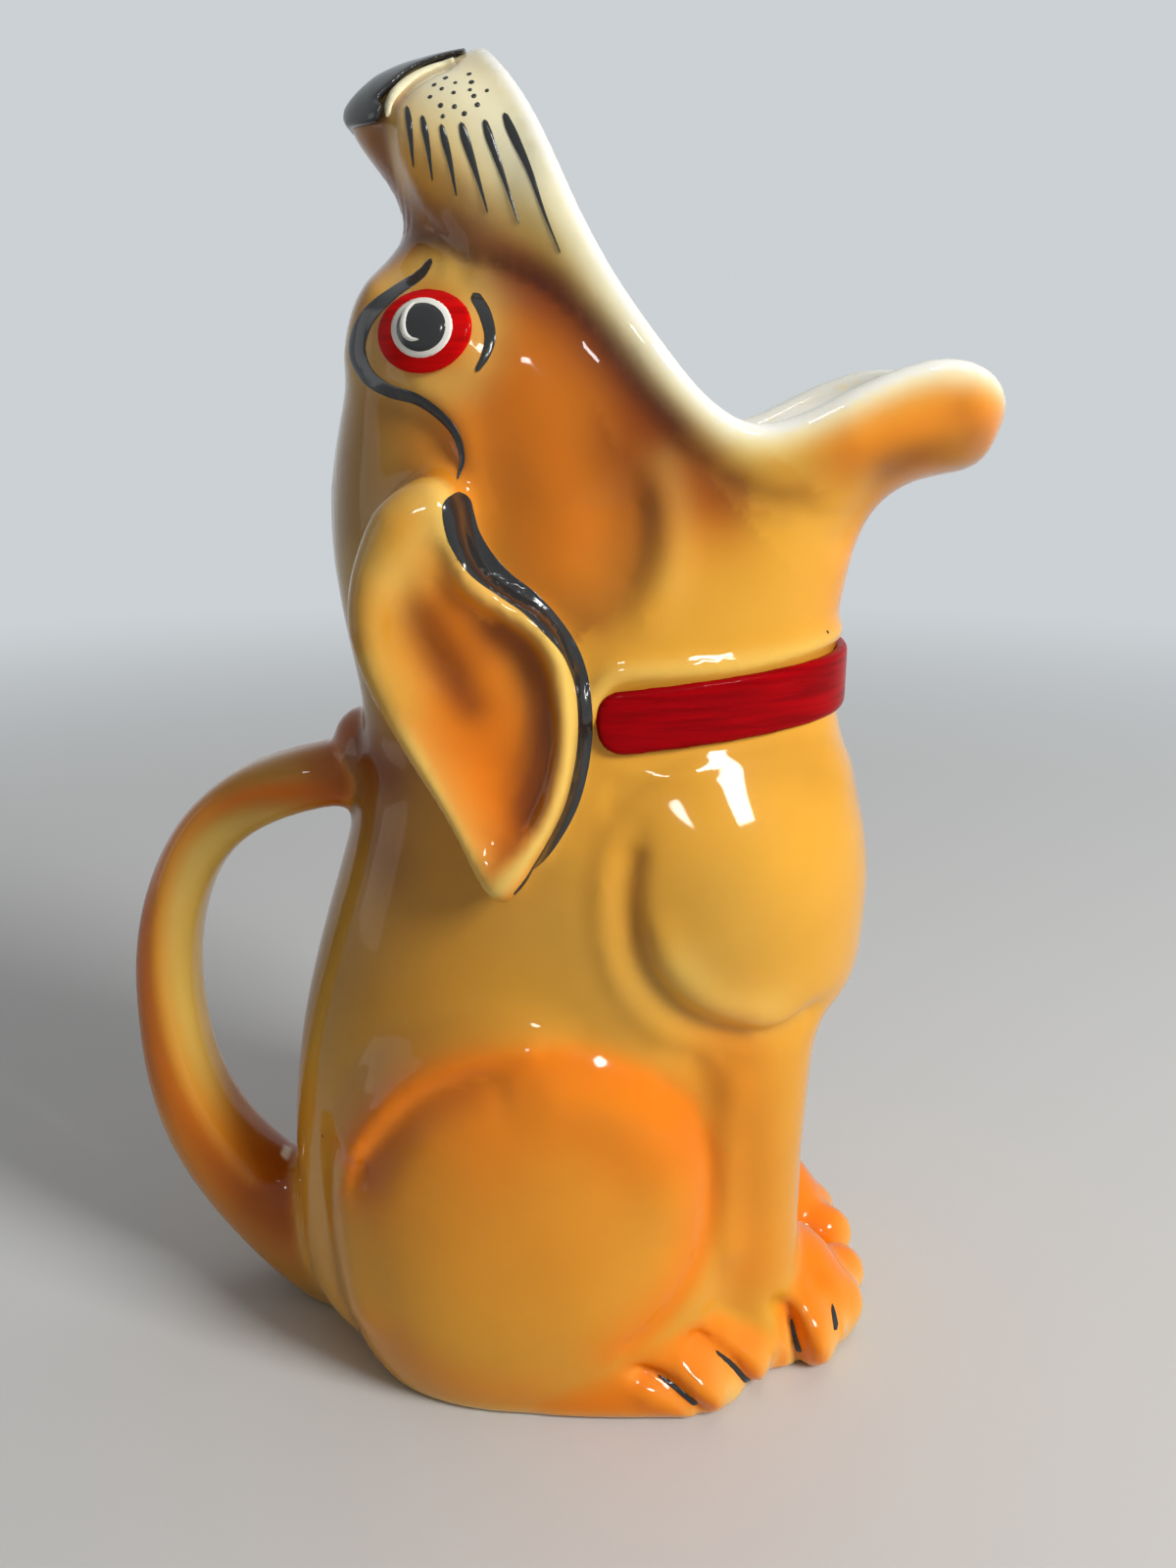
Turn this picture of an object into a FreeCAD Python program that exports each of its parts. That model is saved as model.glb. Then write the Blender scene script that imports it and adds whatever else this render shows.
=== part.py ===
"""A pitcher in the shape of a sitting dog that howls: the head is thrown back, the open mouth is the
pouring spout and the tail is the handle.

The frame: millimetres, +Z up, +X the way the dog faces, +Y to its left. The origin is the middle of the
foot, on the table. Everything is mirrored across the plane y = 0.

The hollow body is two walls of one thickness: the torso, from the foot to the line under the collar, and
the head, from that line to the rim. Both are lofts through closed sections, and each section is drawn on a
chord that runs from the dog's back to its front. The head's chords fan upwards, so that the same sections
make the snout, which points up, and the lower jaw, which reaches forward. The rim is one line seen from the
side. The other members are modelled on that body, each cut to the body's own surface where it sits.
"""

import FreeCAD, Part
import math
import os

V = FreeCAD.Vector

# Hollow body
wall = 4.6
floor_thickness = 6.0
torso_height = 141.0
torso_depth = 112.0
torso_width = 84.0
neck_depth = 96.0
neck_width = 66.0
head_height = 118.0
head_depth = 133.0
head_width = 66.0
rim_round = 1.6
overrun = 15.0

# Haunches
haunch_length = 77.0
haunch_height = 86.0
haunch_proud = 5.5

# Front legs and the paws
leg_depth = 25.0
leg_width = 31.0
leg_height = 84.0
front_paw_length = 39.0
front_paw_width = 31.0
front_paw_height = 26.5
hind_paw_length = 54.0
hind_paw_width = 23.0
hind_paw_height = 20.0

# Ruff of the chest
bib_height = 59.0
bib_depth = 69.0
bib_width = 84.0

# Collar
collar_height = 12.4
collar_below_joint = 9.4
collar_proud = 2.3
collar_rise = 9.0
collar_end_round = 5.0
collar_start_share = 0.021

# Ears
ear_length = 75.0
ear_breadth = 38.7
ear_proud = 11.5
ear_splay = 4.5
ear_lip = 4.0

# Tail handle and the ball at its root
handle_reach = 53.5
handle_rise = 118.0
handle_thickness = 13.0
handle_width = 17.0
knob_size = 13.0
knob_width = 15.6
knob_drop_share = 0.73

# Face
eye_length = 17.2
eye_height = 14.0
eye_turn = 12
eye_proud = 1.2
nose_proud = 1.3

# Each section of the torso: height as a share of torso_height, back and front of its chord as shares of the
# depth there, width as a share of the width there, and how much the neck's depth and width count there.
torso_shares = (
    (0.000, -0.475, 0.357, 0.900, 0.00),
    (0.043, -0.540, 0.372, 0.952, 0.00),
    (0.191, -0.585, 0.384, 1.000, 0.00),
    (0.369, -0.577, 0.402, 1.000, 0.00),
    (0.546, -0.560, 0.465, 1.019, 0.25),
    (0.709, -0.523, 0.521, 1.026, 0.55),
    (0.865, -0.485, 0.533, 1.025, 0.85),
)
neck_back_share = -0.479

# Each section of the head above the neck: back and front of its chord, each an x as a share of the depth
# there and a height above the neck as a share of head_height, then the row of widths that it takes, and how
# much the neck's depth and width count there.
head_shares = (
    (-0.482, 0.144, 0.492, 0.127, "neck", 0.85),
    (-0.445, 0.280, 0.454, 0.229, "neck", 0.50),
    (-0.392, 0.415, 0.447, 0.318, "jowl", 0.20),
    (-0.340, 0.542, 0.480, 0.364, "temple", 0.00),
    (-0.312, 0.648, 0.537, 0.377, "brow", 0.00),
    (-0.262, 0.742, 0.572, 0.405, "stop", 0.00),
    (-0.287, 0.826, 0.583, 0.453, "bridge", 0.00),
    (-0.325, 0.907, 0.578, 0.503, "snout", 0.00),
    (-0.280, 0.955, 0.562, 0.550, "snout", 0.00),
    (-0.203, 0.986, 0.535, 0.592, "muzzle", 0.00),
    (-0.105, 1.004, 0.505, 0.626, "muzzle", 0.00),
)

# Half widths of a section at eight places from its back to its front, as shares of half the full width.
width_shares = {
    "neck": (0.40, 0.69, 0.89, 0.99, 0.99, 0.89, 0.69, 0.40),
    "jowl": (0.46, 0.76, 0.93, 1.00, 0.99, 0.89, 0.70, 0.42),
    "temple": (0.52, 0.84, 0.97, 1.01, 1.00, 0.92, 0.76, 0.46),
    "brow": (0.54, 0.85, 0.95, 1.00, 1.00, 0.94, 0.82, 0.52),
    "stop": (0.34, 0.60, 0.82, 0.96, 1.00, 0.95, 0.86, 0.58),
    "bridge": (0.27, 0.52, 0.72, 0.90, 0.97, 0.94, 0.87, 0.60),
    "snout": (0.27, 0.54, 0.65, 0.82, 0.93, 0.93, 0.87, 0.60),
    "muzzle": (0.25, 0.48, 0.60, 0.78, 0.90, 0.90, 0.85, 0.55),
}

# The rim, seen from the side: x as a share of head_depth, height above the neck as one of head_height.
rim_shares = (
    (-0.162, 1.034),
    (-0.126, 0.972),
    (-0.088, 0.912),
    (-0.030, 0.784),
    (0.026, 0.664),
    (0.101, 0.547),
    (0.162, 0.475),
    (0.214, 0.449),
    (0.267, 0.459),
    (0.331, 0.492),
    (0.406, 0.528),
    (0.474, 0.541),
    (0.534, 0.521),
    (0.579, 0.475),
    (0.632, 0.381),
)

# Haunch, from the table up: height, length and how far it reaches out, as shares of its full sizes. At its
# widest it stands haunch_proud outside the torso.
haunch_shares = (
    (0.00, 0.80, 0.90),
    (0.13, 0.93, 0.965),
    (0.33, 1.00, 1.00),
    (0.58, 0.98, 0.985),
    (0.77, 0.90, 0.95),
    (0.91, 0.68, 0.87),
    (1.00, 0.36, 0.78),
)
haunch_place_share = -0.098
haunch_core_share = 0.40

# Front leg, from the table up: height, how far forward it stands as a share of torso_depth, and its two
# thicknesses as shares of leg_depth and leg_width.
leg_shares = (
    (0.00, 0.025, 1.00, 0.72),
    (0.25, 0.012, 0.97, 0.84),
    (0.60, 0.000, 1.02, 1.02),
    (0.85, -0.004, 1.12, 1.12),
    (1.00, -0.004, 1.10, 1.10),
)
leg_place_share = 0.283
leg_side_share = 0.235

front_paw_place_share = 0.352
front_paw_side_share = 0.190
hind_paw_place_share = 0.070
hind_paw_side_share = 0.410

# Toes: place from the middle of the paw as shares of its length, width and height, then size as a share
# of its width.
front_toe_shares = (
    (0.22, -0.35, 0.24, 0.40),
    (0.36, -0.05, 0.25, 0.40),
    (0.43, 0.28, 0.26, 0.38),
)
hind_toe_shares = (
    (0.26, -0.28, 0.22, 0.48),
    (0.42, 0.02, 0.25, 0.50),
    (0.51, 0.42, 0.27, 0.50),
)

# Length and height of a toe, each as a share of its width.
toe_length_share = 1.25
toe_height_share = 1.15

# Ruff, from below: height, back and front of each section, width, as shares of the bib's own sizes.
# The back and the front are counted from the bib's back edge.
bib_shares = (
    (0.00, 0.45, 0.75, 0.50),
    (0.08, 0.22, 0.91, 0.80),
    (0.20, 0.07, 0.98, 0.93),
    (0.38, 0.00, 1.00, 1.00),
    (0.58, 0.00, 1.00, 1.00),
    (0.78, 0.01, 0.96, 0.95),
    (0.93, 0.05, 0.89, 0.83),
    (1.00, 0.10, 0.84, 0.74),
)
bib_bottom_share = 0.528
bib_back_share = -0.100

# Outline of the ear: x from the ear's middle as a share of ear_breadth, height above its tip as a share
# of ear_length.
ear_shares = (
    (-0.142, 1.000),
    (-0.336, 0.937),
    (-0.465, 0.804),
    (-0.499, 0.684),
    (-0.426, 0.544),
    (-0.245, 0.356),
    (-0.039, 0.164),
    (0.090, 0.033),
    (0.160, 0.000),
    (0.245, 0.041),
    (0.400, 0.190),
    (0.494, 0.364),
    (0.491, 0.537),
    (0.375, 0.677),
    (0.181, 0.741),
    (0.039, 0.824),
    (-0.023, 0.924),
    (-0.065, 0.984),
)
ear_place_share = -0.165
ear_tip_share = -0.257
ear_middle_share = 0.46
ear_root_share = 0.50

# The ear's rounded edge and its dish, from the head outwards: depth below the ear's outermost plane as a
# share of ear_lip, and the size of the outline there.
ear_edge_shares = ((1.00, 1.00), (0.45, 0.985), (0.10, 0.93), (0.00, 0.86))
ear_dish_shares = ((-0.30, 0.82), (0.30, 0.76), (0.75, 0.62), (0.95, 0.42))

# The eye's middle, seen from the side, as shares of head_depth and head_height above the neck.
eye_place_shares = (-0.209, 0.584)

# The edge of the nose, seen from the side, as shares of head_depth and of head_height above the neck.
nose_shares = (
    (-0.400, 0.885),
    (-0.274, 0.885),
    (-0.268, 0.905),
    (-0.280, 0.913),
    (-0.250, 0.942),
    (-0.226, 0.963),
    (-0.190, 0.978),
    (-0.160, 0.985),
    (-0.160, 1.080),
    (-0.400, 1.080),
)

# The middle line of the handle: how far behind the torso's back and how high, as shares of handle_reach
# and handle_rise, then thickness and width as shares of the handle's own.
handle_shares = (
    (-0.42, 1.00, 1.15, 0.95),
    (-0.14, 1.01, 1.08, 0.95),
    (0.22, 0.99, 0.98, 1.00),
    (0.63, 0.905, 0.90, 1.00),
    (0.86, 0.725, 0.93, 1.00),
    (0.905, 0.53, 1.00, 1.00),
    (0.82, 0.31, 1.22, 1.06),
    (0.55, 0.13, 1.60, 1.22),
    (0.20, 0.00, 1.95, 1.50),
    (-0.20, -0.06, 2.10, 1.60),
)
handle_back_share = -0.390
handle_foot_share = 0.050

# A section has eight points on each side at even angles, from the dog's back to its front. The smaller the
# power, the squarer the section.
side_points = 8
oval_power = 0.85
squared_power = 0.65
section_angles = [math.pi * (k + 1) / (side_points + 1) for k in range(side_points)]
oval_shares = [math.sin(angle) ** oval_power for angle in section_angles]
squared_shares = [math.sin(angle) ** squared_power for angle in section_angles]


def oval(back, front, half_width, shares):
    """The points of one closed section on the chord from back to front, the dog's right side first."""
    right = []
    for angle, share in zip(section_angles, shares):
        along = (1 - math.cos(angle)) / 2
        right.append(back + (front - back) * along - V(0, half_width * share, 0))
    left = [mirrored(p, back) for p in reversed(right)]
    return [back] + right + [front] + left


def mirrored(point, back):
    return V(point.x, 2 * back.y - point.y, point.z)


def closed_curve(points, knots=None):
    """A smooth closed curve through the points."""
    curve = Part.BSplineCurve()
    if knots is None:
        knots = [float(i) for i in range(len(points) + 1)]
    curve.interpolate(Points=points, PeriodicFlag=True, Parameters=knots)
    return curve


def section_steps(rows):
    """How far along the skin each section lies: the mean distance between neighbours, added up."""
    steps = [0.0]
    for low, high in zip(rows, rows[1:]):
        gap = sum(a.distanceToPoint(b) for a, b in zip(low, high)) / len(low)
        steps.append(steps[-1] + gap)
    return steps


def loft(sections, knots=None):
    """The closed solid with a smooth skin through the sections and a flat face at each end."""
    curves = [closed_curve(points, knots) for points in sections]
    rows = [curve.getPoles() for curve in curves]
    steps = section_steps(rows)
    ribs = []
    for line in zip(*rows):
        rib = Part.BSplineCurve()
        rib.interpolate(Points=list(line), Parameters=steps)
        ribs.append(rib)
    round_curve = curves[0]
    rib = ribs[0]
    skin = Part.BSplineSurface()
    skin.buildFromPolesMultsKnots([r.getPoles() for r in ribs], round_curve.getMultiplicities(),
                                  rib.getMultiplicities(), round_curve.getKnots(), rib.getKnots(),
                                  True, False, round_curve.Degree, rib.Degree)
    faces = [skin.toShape()]
    for curve in (curves[0], curves[-1]):
        faces.append(Part.Face(Part.Wire(curve.toShape())))
    shell = Part.Shell(faces)
    shell.sewShape()
    solid = Part.Solid(Part.Shell(shell.Faces))
    if solid.Volume < 0:
        solid.reverse()
    return solid


def ellipsoid(centre, length, width, height, tilt=0):
    """An ellipsoid of the given full sizes, turned about the line across the dog by tilt degrees."""
    scale = FreeCAD.Matrix()
    scale.scale(length / 2, width / 2, height / 2)
    ball = Part.makeSphere(1).transformGeometry(scale)
    ball.rotate(V(0, 0, 0), V(0, 1, 0), tilt)
    ball.translate(centre)
    return ball


def left_of(shape):
    """The same piece on the dog's left side."""
    return shape.mirror(V(0, 0, 0), V(0, 1, 0))


def above_table(shape):
    """What is left of a piece when all below the table is cut away."""
    box = shape.BoundBox
    size = box.DiagonalLength
    below = Part.makeBox(2 * size, 2 * size, size, V(box.Center.x - size, box.Center.y - size, -size))
    return shape.cut(below)


def offset_line(line, depth):
    """A line of the contour in the plane y = 0, moved by depth to its left."""
    moved = []
    last = len(line) - 1
    for i, point in enumerate(line):
        along = (line[min(i + 1, last)] - line[max(i - 1, 0)]).normalize()
        moved.append(point + V(-along.z, 0, along.x) * depth)
    return moved


def body_loft(backs, fronts, rows, depth):
    """The closed form through the body's sections, all of it moved in by depth.

    A level section keeps its height, so that the wall ends flush on the joint at the neck.
    """
    sections = []
    inner_backs = offset_line(backs, -depth)
    inner_fronts = offset_line(fronts, depth)
    for i, (half_width, shares) in enumerate(rows):
        back = inner_backs[i]
        front = inner_fronts[i]
        if backs[i].z == fronts[i].z:
            back.z = backs[i].z
            front.z = fronts[i].z
        sections.append(oval(back, front, half_width - depth, shares))
    return loft(sections)


def mixed(size, other, part):
    """The size with the given part of the other size mixed in."""
    return (1 - part) * size + part * other


def neck_section():
    """The section that the torso and the head share."""
    back = V(neck_back_share * neck_depth, 0, torso_height)
    return back, back + V(neck_depth, 0, 0), (neck_width / 2, oval_shares)


def torso_form(depth):
    backs = []
    fronts = []
    rows = []
    for height, back, front, width, neck_part in torso_shares:
        full_depth = mixed(torso_depth, neck_depth, neck_part)
        full_width = mixed(torso_width, neck_width, neck_part)
        backs.append(V(back * full_depth, 0, height * torso_height))
        fronts.append(V(front * full_depth, 0, height * torso_height))
        rows.append((width * full_width / 2, oval_shares))
    back, front, row = neck_section()
    return body_loft(backs + [back], fronts + [front], rows + [row], depth)


def head_point(x_share, z_share):
    return V(x_share * head_depth, 0, torso_height + z_share * head_height)


def head_form(depth):
    back, front, row = neck_section()
    backs = [back]
    fronts = [front]
    rows = [row]
    for back_x, back_z, front_x, front_z, name, neck_part in head_shares:
        full_depth = mixed(head_depth, neck_depth, neck_part)
        full_width = mixed(head_width, neck_width, neck_part)
        backs.append(V(back_x * full_depth, 0, torso_height + back_z * head_height))
        fronts.append(V(front_x * full_depth, 0, torso_height + front_z * head_height))
        rows.append((full_width / 2, width_shares[name]))
    return body_loft(backs, fronts, rows, depth)


def mouth_cut():
    """All that lies above the rim."""
    rim = Part.BSplineCurve()
    rim.interpolate([head_point(x, z) for x, z in rim_shares])
    first = rim.StartPoint
    last = rim.EndPoint
    top = torso_height + head_height + 2 * overrun
    high_front = V(last.x + overrun, 0, last.z)
    corners = [last, high_front, V(high_front.x, 0, top), V(first.x, 0, top), first]
    wire = Part.Wire([rim.toShape()] + Part.makePolygon(corners).Edges)
    plate = Part.Face(wire)
    plate.translate(V(0, -head_width, 0))
    return plate.extrude(V(0, 2 * head_width, 0))


def make_head(outer):
    """The neck, the snout and the lower jaw: one wall, open from the rim down, its rim rounded."""
    head = outer.cut(head_form(wall)).cut(mouth_cut())
    rim = [edge for edge in head.Edges
           if edge.BoundBox.YLength > wall and edge.BoundBox.ZMin > torso_height + wall]
    return head.makeFillet(rim_round, rim)


def make_torso(outer):
    """The hollow body on its flat foot."""
    room = torso_width + torso_depth
    above_floor = Part.makeBox(2 * room, 2 * room, torso_height - floor_thickness,
                               V(-room, -room, floor_thickness))
    return outer.cut(torso_form(wall).common(above_floor))


def make_haunch():
    """The right thigh: a low boss on the torso's side."""
    middle = haunch_place_share * torso_depth
    full_reach = torso_width / 2 + haunch_proud
    core = haunch_core_share * full_reach
    sections = []
    for height, length, reach in haunch_shares:
        half = length * haunch_length / 2
        z = height * haunch_height
        sections.append(oval(V(middle - half, -core, z), V(middle + half, -core, z),
                             reach * full_reach - core, squared_shares))
    return loft(sections)


def make_leg():
    """The right front leg, from the table up to the ruff."""
    y = -leg_side_share * torso_width
    sections = []
    for height, forward, depth, width in leg_shares:
        x = (leg_place_share + forward) * torso_depth
        half = depth * leg_depth / 2
        z = height * leg_height
        sections.append(oval(V(x - half, y, z), V(x + half, y, z), width * leg_width / 2, oval_shares))
    return loft(sections)


def make_paw(toes, length, width, height, middle):
    """A paw on the table: the instep and its toes."""
    paw = ellipsoid(middle, length, width, 2 * height)
    for x, y, z, size in toes:
        place = V(middle.x + x * length, middle.y + y * width, z * height)
        across = size * width
        paw = paw.fuse(ellipsoid(place, toe_length_share * across, across, toe_height_share * across))
    return above_table(paw)


def make_bib():
    """The ruff of the chest, which wraps round its front."""
    bottom = bib_bottom_share * torso_height
    edge = bib_back_share * torso_depth
    sections = []
    for height, back, front, width in bib_shares:
        z = bottom + height * bib_height
        sections.append(oval(V(edge + back * bib_depth, 0, z), V(edge + front * bib_depth, 0, z),
                             width * bib_width / 2, oval_shares))
    return loft(sections)


def make_collar():
    """The band round the neck, with rounded ends in front of the ears."""
    back, front, (half_width, shares) = neck_section()
    grow = V(collar_proud, 0, 0)
    sections = []
    for share in (0, 0.5, 1):
        low = share * collar_height - collar_below_joint
        sections.append(oval(back - grow + V(0, 0, low), front + grow + V(0, 0, low + collar_rise),
                             half_width + collar_proud, shares))
    band = loft(sections)
    rear = sections[0][0]
    slope = math.degrees(math.atan(collar_rise / (neck_depth + 2 * collar_proud)))
    start = collar_start_share * neck_depth - rear.x
    window = Part.makeBox(neck_depth, 2 * neck_width, collar_height, V(start, -neck_width, 0))
    corners = [edge for edge in window.Edges if edge.BoundBox.YLength > neck_width
               and edge.BoundBox.XMax < start + collar_end_round]
    window = window.makeFillet(collar_end_round, corners)
    window.rotate(V(0, 0, 0), V(0, 1, 0), -slope)
    window.translate(rear)
    return band.common(window)


def ear_section(size, y):
    """The ear's outline at one depth, as large as size says, leaning out towards the tip."""
    middle = ear_place_share * head_depth
    tip = torso_height + ear_tip_share * head_height
    points = []
    for x_share, z_share in ear_shares:
        x = x_share * ear_breadth * size
        up = ear_middle_share + (z_share - ear_middle_share) * size
        points.append(V(middle + x, y - ear_splay * (1 - up), tip + up * ear_length))
    return points


def make_ear():
    """The right ear: a thick leaf with a rounded edge and a dished face."""
    outline = ear_section(1, 0)
    knots = section_steps([[p] for p in outline + outline[:1]])
    face = -(head_width / 2 + ear_proud) + ear_splay
    root = [ear_section(1, -ear_root_share * neck_width / 2)]
    edge = [ear_section(size, face + depth * ear_lip) for depth, size in ear_edge_shares]
    dish = [ear_section(size, face + depth * ear_lip) for depth, size in reversed(ear_dish_shares)]
    return loft(root + edge, knots).cut(loft(dish, knots))


def make_eye():
    """The right eye, an oval boss raised by eye_proud over the head, its front end turned up by eye_turn."""
    outline = Part.Face(Part.Wire(Part.Ellipse(V(0, 0, 0), eye_length / 2, eye_height / 2).toShape()))
    outline.rotate(V(0, 0, 0), V(1, 0, 0), 90)
    outline.rotate(V(0, 0, 0), V(0, 1, 0), -eye_turn)
    outline.translate(head_point(*eye_place_shares))
    return head_form(-eye_proud).common(outline.extrude(V(0, -head_width, 0)))


def make_nose():
    """The pad of the nose, raised by nose_proud over the tip of the snout."""
    outline = [head_point(x, z) - V(0, head_width, 0) for x, z in nose_shares]
    window = Part.Face(Part.makePolygon(outline + outline[:1])).extrude(V(0, 2 * head_width, 0))
    return head_form(-nose_proud).common(window)


def make_handle():
    """The tail: a bar of changing thickness bent from the neck to the foot."""
    back = handle_back_share * torso_depth
    foot = handle_foot_share * torso_height
    line = [V(back - x * handle_reach, 0, foot + z * handle_rise) for x, z, _, _ in handle_shares]
    sections = []
    last = len(line) - 1
    for i, (_, _, thickness, width) in enumerate(handle_shares):
        along = (line[min(i + 1, last)] - line[max(i - 1, 0)]).normalize()
        across = V(-along.z, 0, along.x) * (thickness * handle_thickness / 2)
        sections.append(oval(line[i] - across, line[i] + across, width * handle_width / 2, squared_shares))
    return above_table(loft(sections))


def seat(piece, carriers):
    """The piece with all that its carriers fill cut away, so that it meets them face to face.

    Of what the cuts leave, only the largest solid lies outside the body.
    """
    for carrier in carriers:
        piece = piece.cut(carrier)
    return max(piece.Solids, key=lambda solid: solid.Volume)


def build():
    """Every piece by its name, each cut to those that carry it."""
    torso_outer = torso_form(0)
    head_outer = head_form(0)
    body = [torso_outer, head_outer]

    pieces = {"torso": make_torso(torso_outer), "head": make_head(head_outer)}
    collar = seat(make_collar(), body)
    bib = seat(make_bib(), body + [collar])
    handle = seat(make_handle(), body)
    pieces["collar"] = collar
    pieces["chest_bib"] = bib
    pieces["tail_handle"] = handle

    knob_middle = V(neck_back_share * neck_depth, 0, torso_height - knob_drop_share * knob_size)
    knob = ellipsoid(knob_middle, knob_size, knob_width, knob_size)
    pieces["thumb_knob"] = seat(knob, body + [handle])

    haunch = seat(make_haunch(), body + [handle])
    leg = seat(make_leg(), body + [bib, haunch])
    front_middle = V(front_paw_place_share * torso_depth, -front_paw_side_share * torso_width, 0)
    front_paw = make_paw(front_toe_shares, front_paw_length, front_paw_width, front_paw_height, front_middle)
    front_paw = seat(front_paw, body + [haunch, leg])
    hind_middle = V(hind_paw_place_share * torso_depth, -hind_paw_side_share * torso_width, 0)
    hind_paw = make_paw(hind_toe_shares, hind_paw_length, hind_paw_width, hind_paw_height, hind_middle)
    hind_paw = seat(hind_paw, body + [haunch, leg, front_paw])
    ear = seat(make_ear(), body)
    eye = seat(make_eye(), body)
    pieces["nose"] = seat(make_nose(), body)

    pairs = {"haunch": haunch, "front_leg": leg, "front_paw": front_paw, "hind_paw": hind_paw,
             "ear": ear, "eye": eye}
    for name, piece in pairs.items():
        pieces["right_" + name] = piece
        pieces["left_" + name] = left_of(piece)
    return pieces


if __name__ == "__main__":
    os.makedirs("parts", exist_ok=True)
    for name, piece in build().items():
        print(name, "solids", len(piece.Solids), "valid", piece.isValid(), "volume", round(piece.Volume))
        piece.exportStep("parts/" + name + ".step")
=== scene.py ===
"""The looks of a glazed pitcher in the shape of a sitting dog that howls.

The real pitcher is one slip casting, so its members are joined here into one seamless skin: the closed forms
of the frame are read as distances on a grid, joined with soft fillets, modelled further with strips and
grooves, and turned into one mesh. What is painted over the glaze in enamel, and the collar, nose and eyes,
are thin pieces of their own that follow that skin.

Lengths are metres in the properties and in every mesh, and millimetres in the tables and on the grid.
"""

import math

import bmesh
import bpy
import numpy as np
import openvdb as vdb
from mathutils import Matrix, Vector


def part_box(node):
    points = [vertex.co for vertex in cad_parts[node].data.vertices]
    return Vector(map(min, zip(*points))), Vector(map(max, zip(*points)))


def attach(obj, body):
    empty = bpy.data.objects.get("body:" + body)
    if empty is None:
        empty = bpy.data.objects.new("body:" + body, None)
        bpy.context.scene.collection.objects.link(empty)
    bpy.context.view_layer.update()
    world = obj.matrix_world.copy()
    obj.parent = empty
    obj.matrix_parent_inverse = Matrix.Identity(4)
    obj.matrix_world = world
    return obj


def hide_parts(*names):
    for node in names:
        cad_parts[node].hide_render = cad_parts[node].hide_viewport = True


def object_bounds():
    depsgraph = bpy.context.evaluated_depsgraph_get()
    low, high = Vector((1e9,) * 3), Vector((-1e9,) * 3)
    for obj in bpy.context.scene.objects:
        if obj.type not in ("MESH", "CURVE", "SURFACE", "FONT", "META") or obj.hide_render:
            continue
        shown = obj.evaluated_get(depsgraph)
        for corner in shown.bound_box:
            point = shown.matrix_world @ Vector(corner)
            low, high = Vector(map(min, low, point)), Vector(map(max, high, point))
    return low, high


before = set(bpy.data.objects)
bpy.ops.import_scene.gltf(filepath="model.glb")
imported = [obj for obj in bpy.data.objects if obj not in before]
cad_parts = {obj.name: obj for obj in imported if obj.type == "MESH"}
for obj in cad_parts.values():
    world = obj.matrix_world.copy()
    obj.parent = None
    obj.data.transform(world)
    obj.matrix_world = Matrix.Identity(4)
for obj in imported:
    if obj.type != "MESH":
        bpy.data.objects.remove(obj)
CAD_BOX = [list(corner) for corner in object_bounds()]

bl_info = {
    "name": "Dog Pitcher",
    "version": (1, 0, 0),
    "blender": (4, 5, 0),
    "location": "3D View > Sidebar > Dog Pitcher",
    "description": "Glazed pitcher in the shape of a sitting dog, built round its packed frame",
    "category": "Object",
}

MM = 0.001


# Sizes and colours

TONE = {"subtype": "COLOR_GAMMA", "size": 3, "min": 0, "max": 1}


class PitcherSizes(bpy.types.PropertyGroup):
    grain: bpy.props.FloatProperty(
        name="Grain", description="Spacing of the grid that the skin is modelled on",
        default=0.00125, min=0.0008, max=0.003, unit="LENGTH")
    inner_share: bpy.props.FloatProperty(
        name="Inner share", description="Share of the faces that the plain inside of the hollow keeps",
        default=0.25, min=0.05, max=1, subtype="FACTOR")
    enamel_thickness: bpy.props.FloatProperty(
        name="Enamel thickness", description="How far a painted line stands above the glaze",
        default=0.00018, min=0.00005, max=0.001, unit="LENGTH")
    dot_size: bpy.props.FloatProperty(
        name="Dot size", description="Diameter of a dot on the muzzle",
        default=0.0009, min=0.0003, max=0.003, unit="LENGTH")


class PitcherColours(bpy.types.PropertyGroup):
    ochre: bpy.props.FloatVectorProperty(
        name="Ochre", description="Glaze of the body", default=(0.89, 0.64, 0.20), **TONE)
    cream: bpy.props.FloatVectorProperty(
        name="Cream", description="Palest glaze, at the tip of the muzzle",
        default=(0.96, 0.93, 0.78), **TONE)
    # Straw is also laid along some raised edges as a painted highlight.
    straw: bpy.props.FloatVectorProperty(
        name="Straw", description="Pale glaze of the muzzle, the lips and raised edges",
        default=(0.94, 0.81, 0.42), **TONE)
    orange: bpy.props.FloatVectorProperty(
        name="Orange", description="Sprayed shading of the cheeks, the haunches and the paws",
        default=(0.95, 0.50, 0.02), **TONE)
    # Brown is sprayed, and is also laid as painted shade in folds, hollows, creases, under the lip and on the
    # back.
    brown: bpy.props.FloatVectorProperty(
        name="Brown", description="Darkest sprayed shading, in the folds", default=(0.50, 0.22, 0.02), **TONE)
    olive: bpy.props.FloatVectorProperty(
        name="Olive", description="Cool yellow of the back and the handle",
        default=(0.74, 0.60, 0.28), **TONE)
    white: bpy.props.FloatVectorProperty(
        name="White", description="Clear glaze of the rim and the inside",
        default=(0.93, 0.92, 0.88), **TONE)
    black: bpy.props.FloatVectorProperty(
        name="Black", description="Black enamel", default=(0.03, 0.025, 0.025), **TONE)
    crimson: bpy.props.FloatVectorProperty(
        name="Crimson", description="Enamel of the collar", default=(0.62, 0.0, 0.03), **TONE)
    red: bpy.props.FloatVectorProperty(
        name="Red", description="Enamel round the eye", default=(0.84, 0.03, 0.03), **TONE)


def sizes():
    """The sizes that a user can change, in metres."""
    return bpy.context.scene.pitcher_sizes


def linear(colour):
    """A colour as it is seen, turned into the linear light that shaders take."""
    seen = np.asarray(colour, float)
    return np.where(seen <= 0.04045, seen / 12.92, ((seen + 0.055) / 1.055) ** 2.4)


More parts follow.
